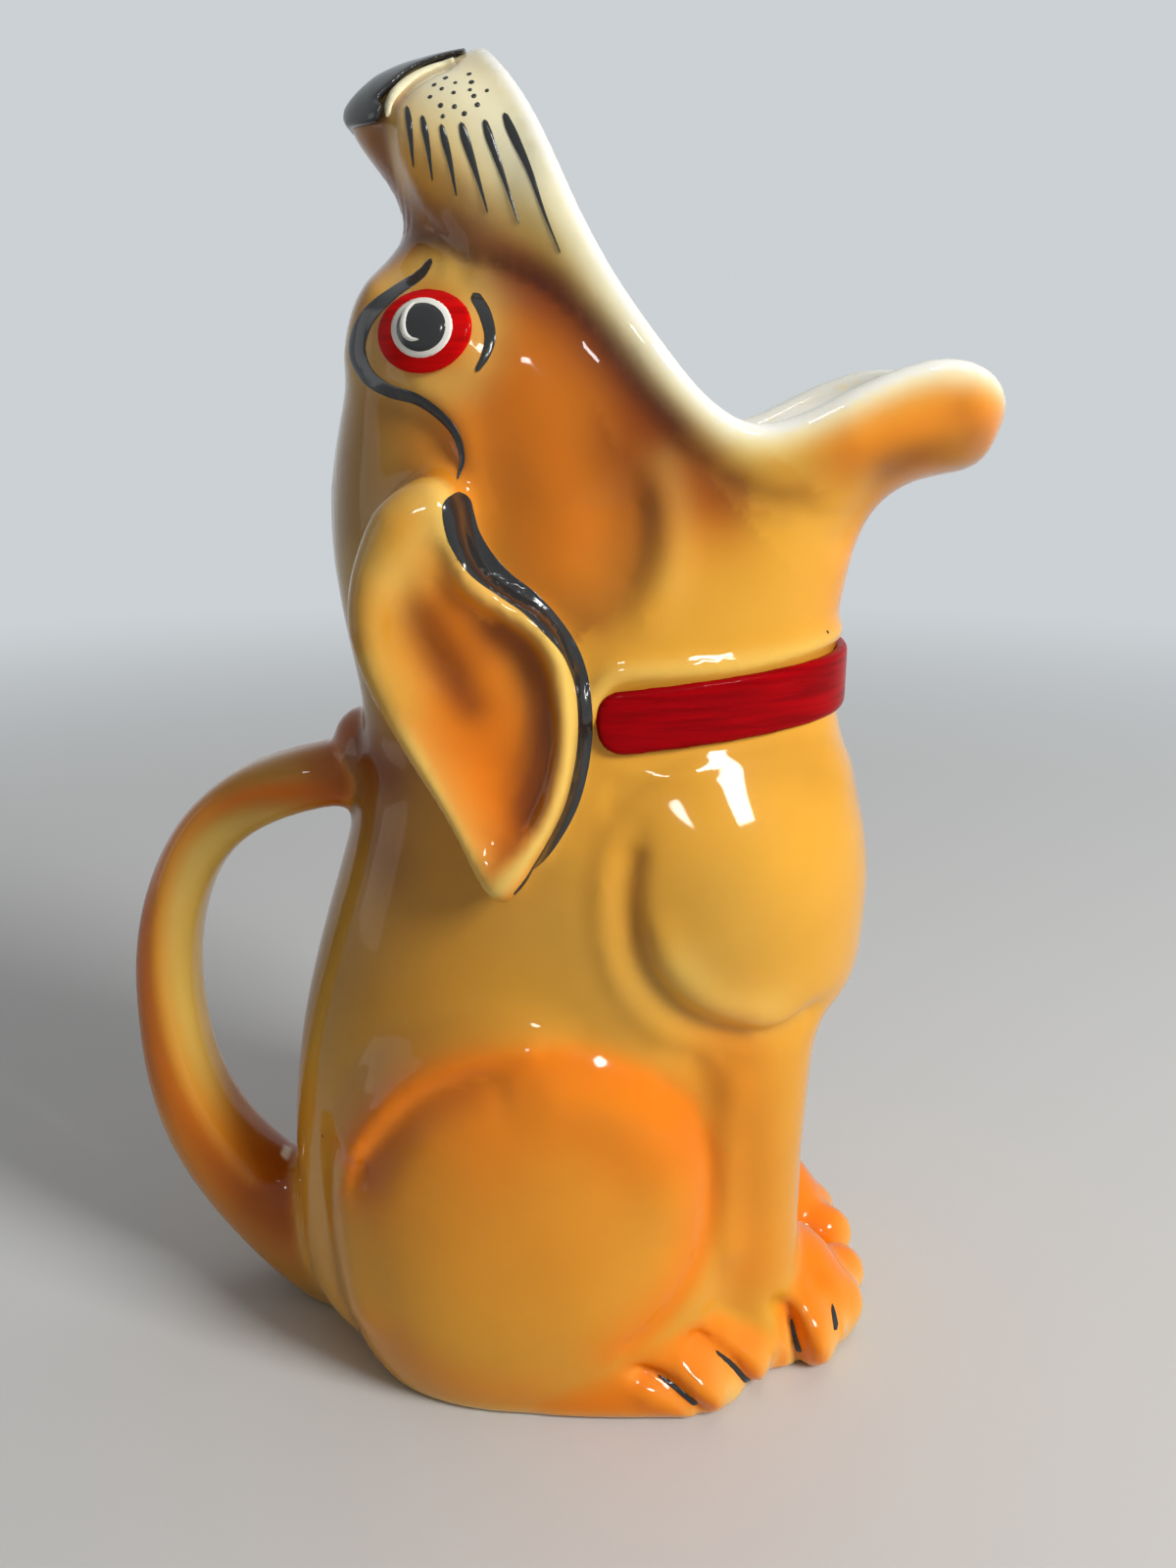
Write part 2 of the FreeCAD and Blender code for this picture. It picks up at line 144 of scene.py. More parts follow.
def colour(name):
    """One of the colours that a user can change, in linear light."""
    return linear(getattr(bpy.context.scene.pitcher_colours, name))


# The members of the casting: CAD node, width of the fillet that joins it in mm, how often it is evened out
# first, and whether it is near enough to the middle to touch its mirror image.
MEMBERS = (
    ("chest_bib", 7, 0, False),
    ("right_haunch", 10, 1, False),
    ("right_front_leg", 5, 2, True),
    ("right_front_paw", 3.5, 4, True),
    ("right_hind_paw", 3.5, 4, False),
    ("tail_handle", 5, 1, False),
    ("thumb_knob", 2, 1, False),
    ("right_ear", 3.2, 2, False),
)

# Evened out where two members meet in a crease that the pitcher doesn't have: how often, how far it reaches
# from its line in mm, whether only on the flank, and the x, z points of the line.
EVENED = (
    (10, 5.5, False, ((47, 174), (50.5, 182), (56, 189), (63, 191), (70, 191.5))),
    (16, 8, True, ((-50, 58), (-52, 44), (-50, 30), (-44, 14))),
    (8, 4.5, True, ((28, 76), (27.5, 60), (27.5, 45), (28.5, 30))),
    (8, 2.6, True, ((-3.4, 152), (-2.2, 146), (-2, 140), (-2.9, 133), (-5.2, 126), (-9.2, 119))),
)

# Near its root the ear flows into the head: from this height up, over this rise, its fillet grows by this
# much, in mm.
EAR_ROOT_HEIGHT = 170.0
EAR_ROOT_RISE = 10.0
EAR_ROOT_FILLET = 5.0

# How far distances are known on both sides of a surface, in mm: of the casting, and of a small node.
CAST_REACH = 9.0
NODE_REACH = 4.0

# A member that is evened out shrinks by this much in mm, times the root of how often, and is grown back.
EVENING_LOSS = 0.25

# Spacing of the points that a line seen from the side is read at, and of those of a painted line, in mm.
LINE_STEP = 3.0
STROKE_STEP = 0.35

CAST_NODES = ("torso", "head", "chest_bib", "tail_handle", "thumb_knob") + tuple(
    side + part for side in ("right_", "left_")
    for part in ("haunch", "front_leg", "front_paw", "hind_paw", "ear"))

# The rim of the mouth, seen from the side: x, z.
RIM_LINE = (
    (-21.5, 263), (-16.8, 255.7), (-11.7, 248.6), (-4, 233.5), (3.5, 219.4), (13.4, 205.5), (21.5, 197.1),
    (28.5, 194), (35.5, 195.2), (44, 199.1), (54, 203.3), (63, 204.8), (71, 202.5), (77, 197), (84, 186))

# Lines that more than one strip or spray follows, seen from the side: x, z.
FLEW = ((-34.2, 247), (-34, 243), (-33.4, 238.5), (-31.6, 234), (-28.6, 229.5))
NOSTRIL_CREASE = ((-32.9, 247.1), (-31.3, 250), (-29.2, 251.9), (-26.4, 253.7), (-23, 254.7))
JOWL_HOLLOW = ((5.5, 189), (7.8, 184), (8.6, 178), (8, 172), (6, 166.5), (2, 161.5))
COLLAR_TOP = ((1.2, 147), (3.6, 150.6), (8, 151.8), (17.7, 152.2), (28.7, 152.8), (40.6, 154.4), (52, 156))

# Modelled on the outside, seen from the side: height in mm (negative for a groove), how far it
# reaches to the left and to the right of its line in mm, and the x, z points of the line.
STRIPS = (
    # Lip roll
    (1.1, 3.2, 4.2, ((-12, 239), (-4, 224), (6, 209), (16, 197.5), (27, 190.5), (38, 190.5), (50, 195.5))),
    # Valley
    (-1.9, 3.2, 7, (
        (-29, 228), (-22, 221.5), (-15.9, 220.1), (-10, 217.8), (-4.1, 213.6), (0, 209.6), (4.1, 204.9),
        (8.3, 199.4), (13.3, 193.6), (18.5, 188.2), (24.7, 184.1), (31, 181.5), (37, 180.5))),
    # Snout facet
    (-1.5, 0.9, 4.5, FLEW + ((-24.5, 225.5),)),
    # Flew
    (0.9, 5, 1, FLEW),
    # Nostril crease
    (-0.8, 1.6, 1, NOSTRIL_CREASE),
    # Brow roll
    (1.3, 3.5, 3.5, ((-35.5, 222), (-41, 215), (-43.6, 208), (-43, 201.5))),
    # Skull back
    (-1.2, 8, 8, ((-49, 197), (-52.5, 187), (-53.5, 177), (-52, 167))),
    # Cheek
    (1.5, 9, 9, ((-14, 200), (-9, 192), (-6, 183), (-5, 173))),
    # Jowl hollow
    (-1.9, 3, 8.5, JOWL_HOLLOW),
    # Jowl edge
    (1.1, 4, 3.2, ((12.6, 188), (14.4, 181), (15, 174), (14, 168), (10.8, 162.5), (6.5, 158))),
    # Eye socket
    (-0.7, 3.2, 3.2, (
        (-36.5, 203), (-37, 211), (-34, 217.5), (-28, 220.5), (-20, 218), (-16.5, 210), (-18, 202.5))),
    # Brow step
    (-1.3, 1.8, 5, ((-38, 201), (-34, 198.8), (-28.5, 196.5), (-24.5, 193), (-22.6, 187))),
    # Under brow
    (0.8, 3.5, 1.5, ((-33, 201.5), (-27.5, 199), (-23, 194.5), (-20.5, 188))),
    # Ear front rim
    (0.5, 1.7, 1.7, (
        (-23.6, 176), (-20.4, 169.9), (-13.8, 165.2), (-8, 161.1), (-4.8, 155.9), (-3.4, 149.2),
        (-3.1, 140.1), (-4.7, 131.3), (-8, 124.5), (-12.5, 118.8))),
    # Ear inner wall
    (-2.4, 2, 6, (
        (-22, 166), (-15.9, 161.4), (-11, 157.9), (-8.2, 152.5), (-7.2, 145.5), (-7.7, 136.5), (-10.2, 128.7),
        (-14, 122.5))),
    # Ear cross ridge
    (0.9, 5, 4, ((-32, 174), (-27.6, 168), (-22, 161.8), (-17, 155.5))),
    # Ear cross valley
    (-2.3, 4.2, 4.6, ((-33.5, 167), (-30, 160), (-26, 153.5), (-22, 147.5))),
    # Ear back fill
    (1.5, 5, 4, ((-35.5, 167), (-35.5, 159), (-33, 151), (-29, 142.5))),
    # Ear root roll
    (1, 4.2, 4.2, ((-27, 181), (-32, 177.5), (-35.8, 170.5), (-37, 162.5))),
    # Ear dish
    (-1.8, 6, 6, ((-19, 143), (-17.5, 135), (-15.5, 127.5))),
    # Haunch ridge
    (1.2, 2.4, 2.2, (
        (-48, 54), (-45, 60.6), (-39.4, 68.8), (-32.9, 74.7), (-24.9, 78.9), (-15.8, 81.4), (-7.4, 81.8))),
    # Haunch crease
    (-1.5, 1.9, 4, (
        (-46.5, 48), (-44, 52.5), (-39.5, 59.8), (-34.5, 66.7), (-28.7, 71.5), (-22, 74.6), (-14, 76.2))),
    # Haunch front
    (-0.7, 2.6, 1.4, (
        (12, 73.5), (18, 68), (21.9, 60), (23.6, 50), (22.9, 40), (19.8, 31), (13.5, 22.4), (6, 16.4))),
    # Haunch top
    (1.7, 5, 8, ((-16, 74), (-4, 73.5), (6, 69.5), (13, 62.5), (16.5, 52), (16.5, 40))),
    # Haunch over
    (-0.8, 4, 2.5, ((-6, 82.5), (4, 80.5), (13, 74.5), (19, 67))),
    # Leg fill
    (0.9, 3.5, 3.5, ((28.5, 76), (28, 66), (28, 54), (28.5, 40), (29.5, 28))),
    # Bib crease
    (-1.2, 1.9, 3.4, (
        (9.6, 122), (8.1, 112.8), (8.5, 104.5), (10.8, 96.9), (16, 90), (22.7, 85.2), (30, 82.6),
        (37.8, 82.8), (46, 86.5))),
    # Bib outer
    (1.3, 3.2, 9.5, ((2.8, 122), (2, 114), (1.8, 106), (3.2, 97.5), (7.6, 89), (14, 83), (21, 79.5))),
    # Haunch back
    (1.1, 5, 5, ((-49.5, 66), (-50.5, 54), (-50.5, 40), (-49, 26), (-45, 12))),
    # Bib edge
    (0.7, 3.2, 2.4, ((12.2, 108.8), (14.5, 100.5), (19.1, 94.1), (25.7, 89.6), (35.4, 87))),
    # Bib shoulder
    (1.8, 6, 6, ((38, 137), (45, 135), (49, 128), (50, 120))),
    # Collar ledge
    (1.5, 1.9, 1.9, ((0.8, 141),) + COLLAR_TOP),
    # Below collar
    (0.5, 1.6, 1.6, ((4, 134), (12.6, 133), (21.7, 133.6))),
    # Handle ridge
    (1.1, 2.4, 2.4, (
        (-56, 126.5), (-64, 126), (-74.1, 122.9), (-83.4, 113.9), (-88.4, 102.6), (-90.7, 89.5), (-91, 75.9),
        (-89.6, 64.1), (-86.2, 52.1), (-79.6, 38.8), (-72.5, 30))),
    # Hind toes
    (1.1, 2.6, 2.6, ((9, 8.2), (15, 5.2), (19, 2.5))),
    (1.2, 2.6, 2.6, ((16, 12.5), (22, 9.2), (27, 5.6), (29, 2.5))),
    (1.1, 2.6, 2.6, ((25.5, 15), (31.5, 11.5), (35.5, 7.5), (37, 4))),
    # Front toes
    (1.1, 2.6, 2.6, ((36, 15), (39, 10), (40.5, 5))),
    (1.1, 2.4, 2.4, ((44, 16), (48, 11), (49.5, 5))),
    # Hind toe gaps
    (-1.6, 1.7, 1.7, ((8, 11.6), (14.2, 9.4), (18.2, 7), (22.1, 3.9), (23.5, 1))),
    (-1.6, 1.7, 1.7, ((20, 16), (26.3, 11.6), (30.3, 7.6), (33.6, 2.2), (34.4, 0))),
    # Front toe gaps
    (-1.6, 1.7, 1.7, ((38.6, 18), (42.6, 12.4), (43.9, 8.4), (45.1, 4.1), (45.6, 0.5))),
    (-1.4, 1.7, 1.7, ((47.5, 19), (51.4, 14), (52.7, 10.5), (53.4, 6), (54, 1))),
    # Knob root
    (1.2, 5, 5, ((-46.5, 134), (-40, 131.5))),
)

# The swelling where the knob flows into the back, in mm: its middle and half sizes, and its fillet's width.
KNOB_ROOT = ((-45, 0, 130), (6, 10.5, 6), 3)

# The roll along the rim of the mouth: its height, and how far it reaches to either side, in mm.
RIM_ROLL = (0.7, 2.6, 2.6)

# No groove goes deeper than this into the wall, or into the thick leaf of the ear, in mm. Where none is
# wanted, the skin may still give way by the last of them, so that the limit leaves no ledge.
DEEPEST_GROOVE = 1.9
DEEPEST_IN_EAR = 3.8
GROOVE_SLACK = 0.4

# The modelling leaves the inside of the hollow alone: it ends this deep in the wall and starts to fade
# this much earlier, in mm.
MODELLED_DEPTH = 3.4
MODELLED_FADE = 1.6

# The edge of the foot is rounded by this much, in mm.
FOOT_EDGE = 1.0

# A point faces the hollow if a step of this length away from its face still lies this far inside the outer
# wall, in mm. The channel of the lip starts at this x and z.
HOLLOW_PROBE = 7.0
HOLLOW_MARGIN = 3.0
LIP_CHANNEL = (25.0, 180.0)

# Sprayed on, or laid as painted shade and painted highlights where marked below: member ("" for all), colour,
# strength, how far it reaches to the left and the right of its line in mm, and the x, z points of the line
# seen from the side.
SPRAYS_AND_PAINTED_LIGHT = (
    ("", "olive", 0.85, 16, 16, (
        (-48, 205), (-50, 185), (-48, 165), (-46, 150), (-52, 125), (-58, 100), (-62, 80))),
    ("", "olive", 0.35, 12, 12, ((-10, 108), (0, 100), (8, 92))),
    ("", "olive", 0.3, 11, 11, ((24, 112), (28, 100))),
    # Painted shade on the back, which faces away from the light
    ("", "brown", 0.3, 30, 20, ((-34, 132), (-38, 110), (-40, 90))),
    ("", "orange", 0.35, 22, 22, ((-20, 50), (-6, 42))),
    # Sprayed brown behind the brow, darkened further as painted shade under the brow
    ("", "brown", 0.4, 7, 6, ((-44.5, 178), (-42.4, 188), (-38, 195.5), (-31, 193), (-28.5, 187))),
    ("", "orange", 0.8, 13, 13, ((-12, 200), (-7, 190), (-3, 178))),
    ("", "orange", 0.5, 10, 10, ((-20, 203), (-17, 190), (-14, 178), (-8, 168))),
    ("", "orange", 0.7, 6, 11, ((-26, 222), (-10, 216), (0, 206), (10, 194), (18, 186))),
    ("", "straw", 0.9, 9, 6, ((-24, 246), (-14, 236), (-4, 225.5), (6, 212), (16, 201), (27, 193))),
    ("", "straw", 0.7, 2.6, 2.4, ((27, 193.5), (38, 195), (50, 200.5), (60, 203.6), (69, 202), (75, 198))),
    # Sprayed brown in the valley of the muzzle, darkened further as painted shade in the valley
    ("", "brown", 0.65, 4, 15, (
        (-26, 224.5), (-19, 221.5), (-10, 217.6), (-4.1, 213.4), (0, 209.4), (4.1, 204.8), (8.3, 199.3),
        (13.3, 193.6), (18.5, 188.2))),
    ("", "brown", 0.7, 3, 5, ((-31, 232.5), (-26, 229.5), (-19, 226.5), (-12, 222), (-6, 217))),
    ("", "brown", 1, 2.5, 5.5, (
        (-27, 226), (-19, 222.5), (-10, 218.6), (-4.1, 214.4), (0.4, 210), (4.6, 205.2), (8.9, 199.9),
        (14, 194.2))),
    # Painted shade under the lip and at the corner of the mouth
    ("", "brown", 0.55, 2.4, 4.5, ((11.5, 197), (16.5, 191.5), (21, 187.2), (26, 184.5))),
    ("", "brown", 0.35, 2, 4, ((24.7, 185.2), (31, 182.6), (38, 183))),
    ("", "brown", 0.55, 3.5, 7, ((9, 194), (13.5, 187.5), (18.5, 183.5), (25, 181.5))),
    # Painted shade on the facet of the snout, on its side away from the light
    ("", "brown", 0.85, 1.3, 8, ((-35.8, 247), (-36, 240), (-35.2, 235.5), (-32.5, 230), (-28.5, 226))),
    ("", "cream", 0.95, 9, 9, ((-25, 252), (-19, 248), (-12, 240))),
    ("", "cream", 0.8, 5, 3.4, ((-14, 243), (-4, 229), (6, 214), (14, 204), (24, 196))),
    # Painted shade in the crease beside the nose
    ("", "brown", 0.5, 0.9, 0.7, NOSTRIL_CREASE),
    ("", "straw", 0.45, 4.5, 4.5, (
        (-33.5, 218), (-28, 221.5), (-20.5, 217.5), (-17.8, 210), (-21, 202), (-29, 201.5))),
    # Painted shade in the jowl hollow
    ("", "brown", 0.55, 3, 8, JOWL_HOLLOW),
    # Painted shade over the cheek
    ("", "brown", 0.22, 12, 12, ((-14, 196), (-8, 182), (-4, 170))),
    # Painted highlight along the jowl edge
    ("", "straw", 0.15, 3.5, 3.5, ((13.4, 188), (15.2, 181), (15.8, 174), (14.4, 168))),
    # Painted highlight along the ledge above the collar
    ("", "straw", 0.45, 1.8, 1.8, COLLAR_TOP),
    ("", "orange", 0.6, 6, 6, ((46, 190), (56, 194), (66, 196.5), (73, 194))),
    ("", "orange", 0.3, 6, 6, ((60, 184), (52, 172), (50, 160))),
    # Painted shade under the end of the lip, and a painted dark spot on its end
    ("", "brown", 0.5, 3.5, 3.5, ((54, 187.5), (62, 190), (70, 190))),
    ("", "brown", 0.35, 3.5, 3.5, ((65, 197), (68, 194))),
    ("", "orange", 0.95, 3, 10, (
        (-47.5, 54), (-45, 60), (-39, 68.4), (-32, 74.4), (-22, 79), (-10, 80.5), (0, 79), (10, 75),
        (19, 66))),
    ("", "orange", 0.6, 12, 12, ((-18, 66), (-4, 68), (8, 62))),
    ("", "orange", 0.8, 3, 8, ((22, 62), (24, 48), (22, 34), (16, 24), (8, 17))),
    ("", "orange", 0.5, 9, 9, ((28, 84), (30, 66), (32, 46), (34, 28))),
    # Painted shade in the haunch crease
    ("", "brown", 0.35, 1.4, 4, ((-45.5, 50.5), (-40.5, 59), (-35.4, 66), (-29.5, 71), (-22.3, 74.4))),
    ("", "orange", 0.35, 7, 7, ((-42, 16), (-30, 9), (-10, 6))),
    # Painted shade in the bib crease
    ("", "brown", 0.35, 1.4, 1.8, (
        (9.4, 119), (8.3, 112), (8.6, 104.5), (10.9, 96.9), (16.2, 90.2), (22.9, 85.4), (30, 82.8))),
    # Painted highlight along the lower edge of the bib
    ("", "straw", 0.4, 6, 6, ((17, 97), (24, 90.5), (34, 88))),
    # Painted shade where the knob and the handle meet the back
    ("", "brown", 0.9, 7.5, 7.5, ((-48, 134), (-40, 130))),
    ("", "brown", 0.5, 7, 7, ((-46, 124), (-40, 114))),
    ("right_ear", "orange", 0.85, 12, 14, ((-24, 163), (-18, 145), (-14, 128))),
    ("right_ear", "orange", 0.9, 7, 7, ((-19, 140), (-17, 130), (-15, 122))),
    # Painted shade along the inner wall under the ear's front rim
    ("right_ear", "brown", 0.85, 2.2, 5.5, (
        (-15, 160.5), (-10.5, 157), (-7.9, 151), (-7, 144), (-7.6, 135), (-10.6, 127))),
    # Painted shade in the ear's cross valley
    ("right_ear", "brown", 0.8, 4, 4.2, ((-31, 162), (-28, 156.5), (-24.5, 151.5), (-21.5, 147))),
    ("right_ear", "orange", 0.7, 6, 6, ((-27, 141), (-23.5, 133), (-19.5, 124))),
    ("right_ear", "olive", 0.5, 4.5, 4.5, (
        (-36.5, 174), (-38, 162), (-35, 151), (-30.5, 141), (-25, 130), (-20, 120))),
    ("right_ear", "ochre", 0.6, 5.5, 5.5, ((-35, 170), (-36.5, 160), (-34.5, 151))),
    ("right_ear", "straw", 0.75, 6, 6, ((-25, 182), (-30.5, 178.5), (-33, 173))),
    ("right_ear", "straw", 0.85, 2, 2, (
        (-24, 181), (-23.4, 175), (-20.2, 169.7), (-13.6, 165), (-7.8, 160.9), (-4.5, 155.7), (-3.1, 149.2),
        (-2.8, 140.1), (-4.4, 131.3), (-7.6, 124.3), (-12.3, 118.6), (-17, 113.5))),
    ("right_ear", "straw", 0.7, 1.6, 1.6, (
        (-38, 156), (-34, 146.5), (-28.5, 135), (-23, 123.5), (-19, 114.5))),
)

# The middle of the orange band on the handle.
HANDLE_BAND = (
    (-66, 26), (-78, 36), (-87, 50), (-91.5, 63), (-93.3, 79.4), (-92.3, 92.9), (-90, 103.3), (-85.5, 112.5),
    (-79, 118.5), (-69.9, 122), (-61.5, 122.6), (-52.5, 122), (-45.7, 121.2))

# Where the handle meets the body, sprayed orange and darkened with brown as painted shade: x, z, and how far
# it reaches in mm.
HANDLE_ROOTS = ((-64, 32, 20), (-46, 126, 13))

# The eye, seen from the side: x, z of the middle, length, height, and turn in degrees; then the line of the
# gleam in it: x, z, half width.
EYE_WHITE = (-28.1, 210.4, 10.9, 9.8, 12)
EYE_IRIS = (-28.1, 210.4, 9, 8.2, 12)
GLEAM = (
    (-29.2, 214.3, 0.15), (-30.5, 213.2, 0.45), (-31.15, 211.2, 0.6), (-30.85, 209.4, 0.6),
    (-29.8, 208.5, 0.45), (-28.4, 208.4, 0.15))

# The nose, seen from the side: its outline, and how much thinner than the CAD pad it gets towards its upper
# end in mm, by x.
NOSE_OUTLINE = (
    (-44.6, 247.6), (-43.6, 246.1), (-39, 244.9), (-34.3, 243.8), (-35.4, 246.9), (-34.2, 250),
    (-31.6, 253.3), (-28.2, 255.4), (-24.5, 256.7), (-19.8, 257.4), (-21.5, 259.5), (-30, 258.5), (-38, 255),
    (-44.6, 249.5))
NOSE_TAPER = ((-38, 0), (-30, 0.5), (-22, 0.6))

# How far the pad of the nose stands out past the CAD pad, and how much its edge is rounded, in mm.
NOSE_SWELL = 0.45
NOSE_EDGE = 0.8

# Painted lines: x and z seen from the side, and half width, all in mm.
BROW = (
    (-27.6, 222.6, 0.5), (-29.5, 219.6, 1), (-33.7, 216.6, 1.2), (-38.7, 212.6, 1.5), (-41, 207.8, 1.8),
    (-39.2, 203.2, 1.5), (-35, 200.4, 1.15), (-29.5, 198.8, 0.95), (-25.2, 196, 0.85), (-22.6, 192.8, 0.7),
    (-21.7, 189, 0.5), (-22.5, 185.5, 0.15))
EYE_LINE = (
    (-19.6, 216.2, 0.9), (-17.5, 212.8, 1.05), (-16.5, 209.1, 0.95), (-17.2, 206, 0.75), (-18.9, 203.2, 0.35))
EAR_LINE = (
    (-22.4, 183.4, 2), (-22, 179.5, 2.3), (-21, 175.7, 2.3), (-18.4, 171.6, 2.1), (-14.6, 168.1, 1.7),
    (-10.3, 165, 1.55), (-6.8, 161.5, 1.4), (-3.8, 157.6, 1.2), (-2, 153.7, 1.25), (-0.8, 148.6, 1.25),
    (-0.5, 141.1, 1.3), (-1.4, 133.8, 1.35), (-3.6, 126.4, 1.25), (-8.1, 118.8, 1), (-13.4, 113.2, 0.15))
WHISKERS = (
    ((-31, 247, 0.3), (-30.6, 244.6, 0.55), (-30.3, 241.1, 0.4), (-30.2, 237.5, 0.1)),
    ((-28.2, 245.2, 0.3), (-27.8, 243, 0.55), (-27.3, 239.8, 0.4), (-26.9, 235.2, 0.1)),
    ((-24.9, 243.6, 0.35), (-24.4, 241.3, 0.6), (-23.6, 238, 0.45), (-22.7, 232.6, 0.1)),
    ((-21.5, 243.8, 0.4), (-20.9, 241.6, 0.75), (-20, 238.8, 0.65), (-18.6, 234.4, 0.35),
     (-17.2, 229.6, 0.1)),
    ((-17.5, 244.1, 0.4), (-16.8, 241.8, 0.7), (-15.8, 239, 0.6), (-13.9, 233.8, 0.35), (-11.7, 227.5, 0.1)),
    ((-14.1, 245.1, 0.4), (-13.2, 242.9, 0.75), (-12, 240.4, 0.75), (-9.8, 235.6, 0.5), (-7.3, 228.7, 0.25),
     (-4.6, 222.4, 0.08)),
)
NOSE_FOLD = (
    (-34.6, 245.9, 0.35), (-34.4, 248.3, 0.75), (-32.7, 250.9, 0.85), (-30.1, 253.2, 0.65),
    (-27, 254.8, 0.45), (-23.4, 255.9, 0.15))
TOE_LINES = (
    ((14.2, 9.2, 0.2), (18.2, 6.9, 0.5), (22.1, 3.9, 0.7)),
    ((26.3, 11.4, 0.2), (30.3, 7.5, 0.5), (33.6, 2.6, 0.7)),
    ((43.3, 11, 0.2), (43.9, 8.2, 0.5), (45.1, 4.1, 0.7)),
    ((52.6, 12, 0.2), (52.7, 11, 0.5), (53, 8.8, 0.7)),
)

# How many times thicker than a painted line the gleam of the eye and the folds of the nose are.
GLEAM_LAYERS = 2.2
FOLD_LAYERS = 2.5

# The dots of the muzzle, seen from the side: x, z.
MUZZLE_DOTS = (
    (-20.3, 252.2), (-24.4, 251.7), (-26.3, 250.5), (-22.6, 250.6), (-19.8, 250.6), (-24.9, 249.6),
    (-22.8, 248.8), (-20, 249.2), (-17.1, 249), (-19.3, 248.1), (-26.9, 248.3), (-25, 246.7), (-22.6, 246.4),
    (-18.7, 246.6), (-24.6, 244.9), (-20.9, 245.2))


# Distances on the grid

def soft_min(a, b, width):
    """The nearer of two surfaces, with a fillet of about that width where they meet."""
    blend = np.maximum(width - np.abs(a - b), 0)
    return np.minimum(a, b) - blend * blend / (4 * width)


def soft_max(a, b, width):
    """The farther of two surfaces, with a rounding of about that width where they meet."""
    return -soft_min(-a, -b, width)


def evened(values, times):
    """Values on a grid, each mixed with its neighbours, so that small bumps flatten."""
    for _ in range(times):
        for axis in range(3):
            ends = [(1, 1) if i == axis else (0, 0) for i in range(3)]
            padded = np.moveaxis(np.pad(values, ends, mode="edge"), axis, 0)
            values = np.moveaxis((padded[:-2] + 2 * padded[1:-1] + padded[2:]) / 4, 0, axis)
    return values


def merged(node):
    """The points and triangles of a CAD node, in mm, with its doubled points made one."""
    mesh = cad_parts[node].data
    points = np.empty(len(mesh.vertices) * 3, np.float32)
    mesh.vertices.foreach_get("co", points)
    mesh.calc_loop_triangles()
    corners = np.empty(len(mesh.loop_triangles) * 3, np.int32)
    mesh.loop_triangles.foreach_get("vertices", corners)
    points = np.round(points.reshape(-1, 3) / MM, 4)
    points, index = np.unique(points, axis=0, return_inverse=True)
    return points.astype(np.float32), index.reshape(-1)[corners].reshape(-1, 3)


def line_distance(x, z, line):
    """How far points are from a line of straight runs (above 0 to its left, below 0 to its right), how far
    along it the nearest place is, and the line's length."""
    best = np.full(np.broadcast(x, z).shape, np.inf)
    side = np.ones_like(best)
    along = np.zeros_like(best)
    start = 0.0
    for (ax, az), (bx, bz) in zip(line, line[1:]):
        run_x, run_z = bx - ax, bz - az
        run = math.hypot(run_x, run_z)
        share = np.clip(((x - ax) * run_x + (z - az) * run_z) / (run * run), 0, 1)
        gap = np.hypot(x - ax - share * run_x, z - az - share * run_z)
        nearer = gap < best
        best = np.where(nearer, gap, best)
        side = np.where(nearer, np.sign(run_x * (z - az) - run_z * (x - ax)), side)
        along = np.where(nearer, start + share * run, along)
        start += run
    return best * side, along, start


def outline_distance(x, z, outline):
    """How far points are from a closed outline of straight runs, less than 0 inside it."""
    gap, _, _ = line_distance(x, z, outline + outline[:1])
    within = np.zeros(gap.shape, bool)
    for (ax, az), (bx, bz) in zip(outline, outline[1:] + outline[:1]):
        within ^= ((az > z) != (bz > z)) & (x < ax + (z - az) * (bx - ax) / ((bz - az) or 1))
    return np.where(within, -np.abs(gap), np.abs(gap))


def beside(gap, left, right):
    """1 on a line, fading to 0 on its left and its right over those widths."""
    return np.exp(-(gap / np.where(gap > 0, left, right)) ** 2)


def curved(line, step):
    """Points along a smooth curve through the given points, which may carry more columns."""
    line = np.asarray(line, float)
    ends = np.vstack((2 * line[0] - line[1], line, 2 * line[-1] - line[-2]))
    out = []
    for a, b, c, d in zip(ends, ends[1:], ends[2:], ends[3:]):
        count = max(2, int(np.linalg.norm((c - b)[:2]) / step))
        for t in np.arange(count) / count:
            out.append(0.5 * (2 * b + (c - a) * t + (2 * a - 5 * b + 4 * c - d) * t * t
                              + (3 * b - a - 3 * c + d) * t ** 3))
    return np.array(out + [line[-1]])


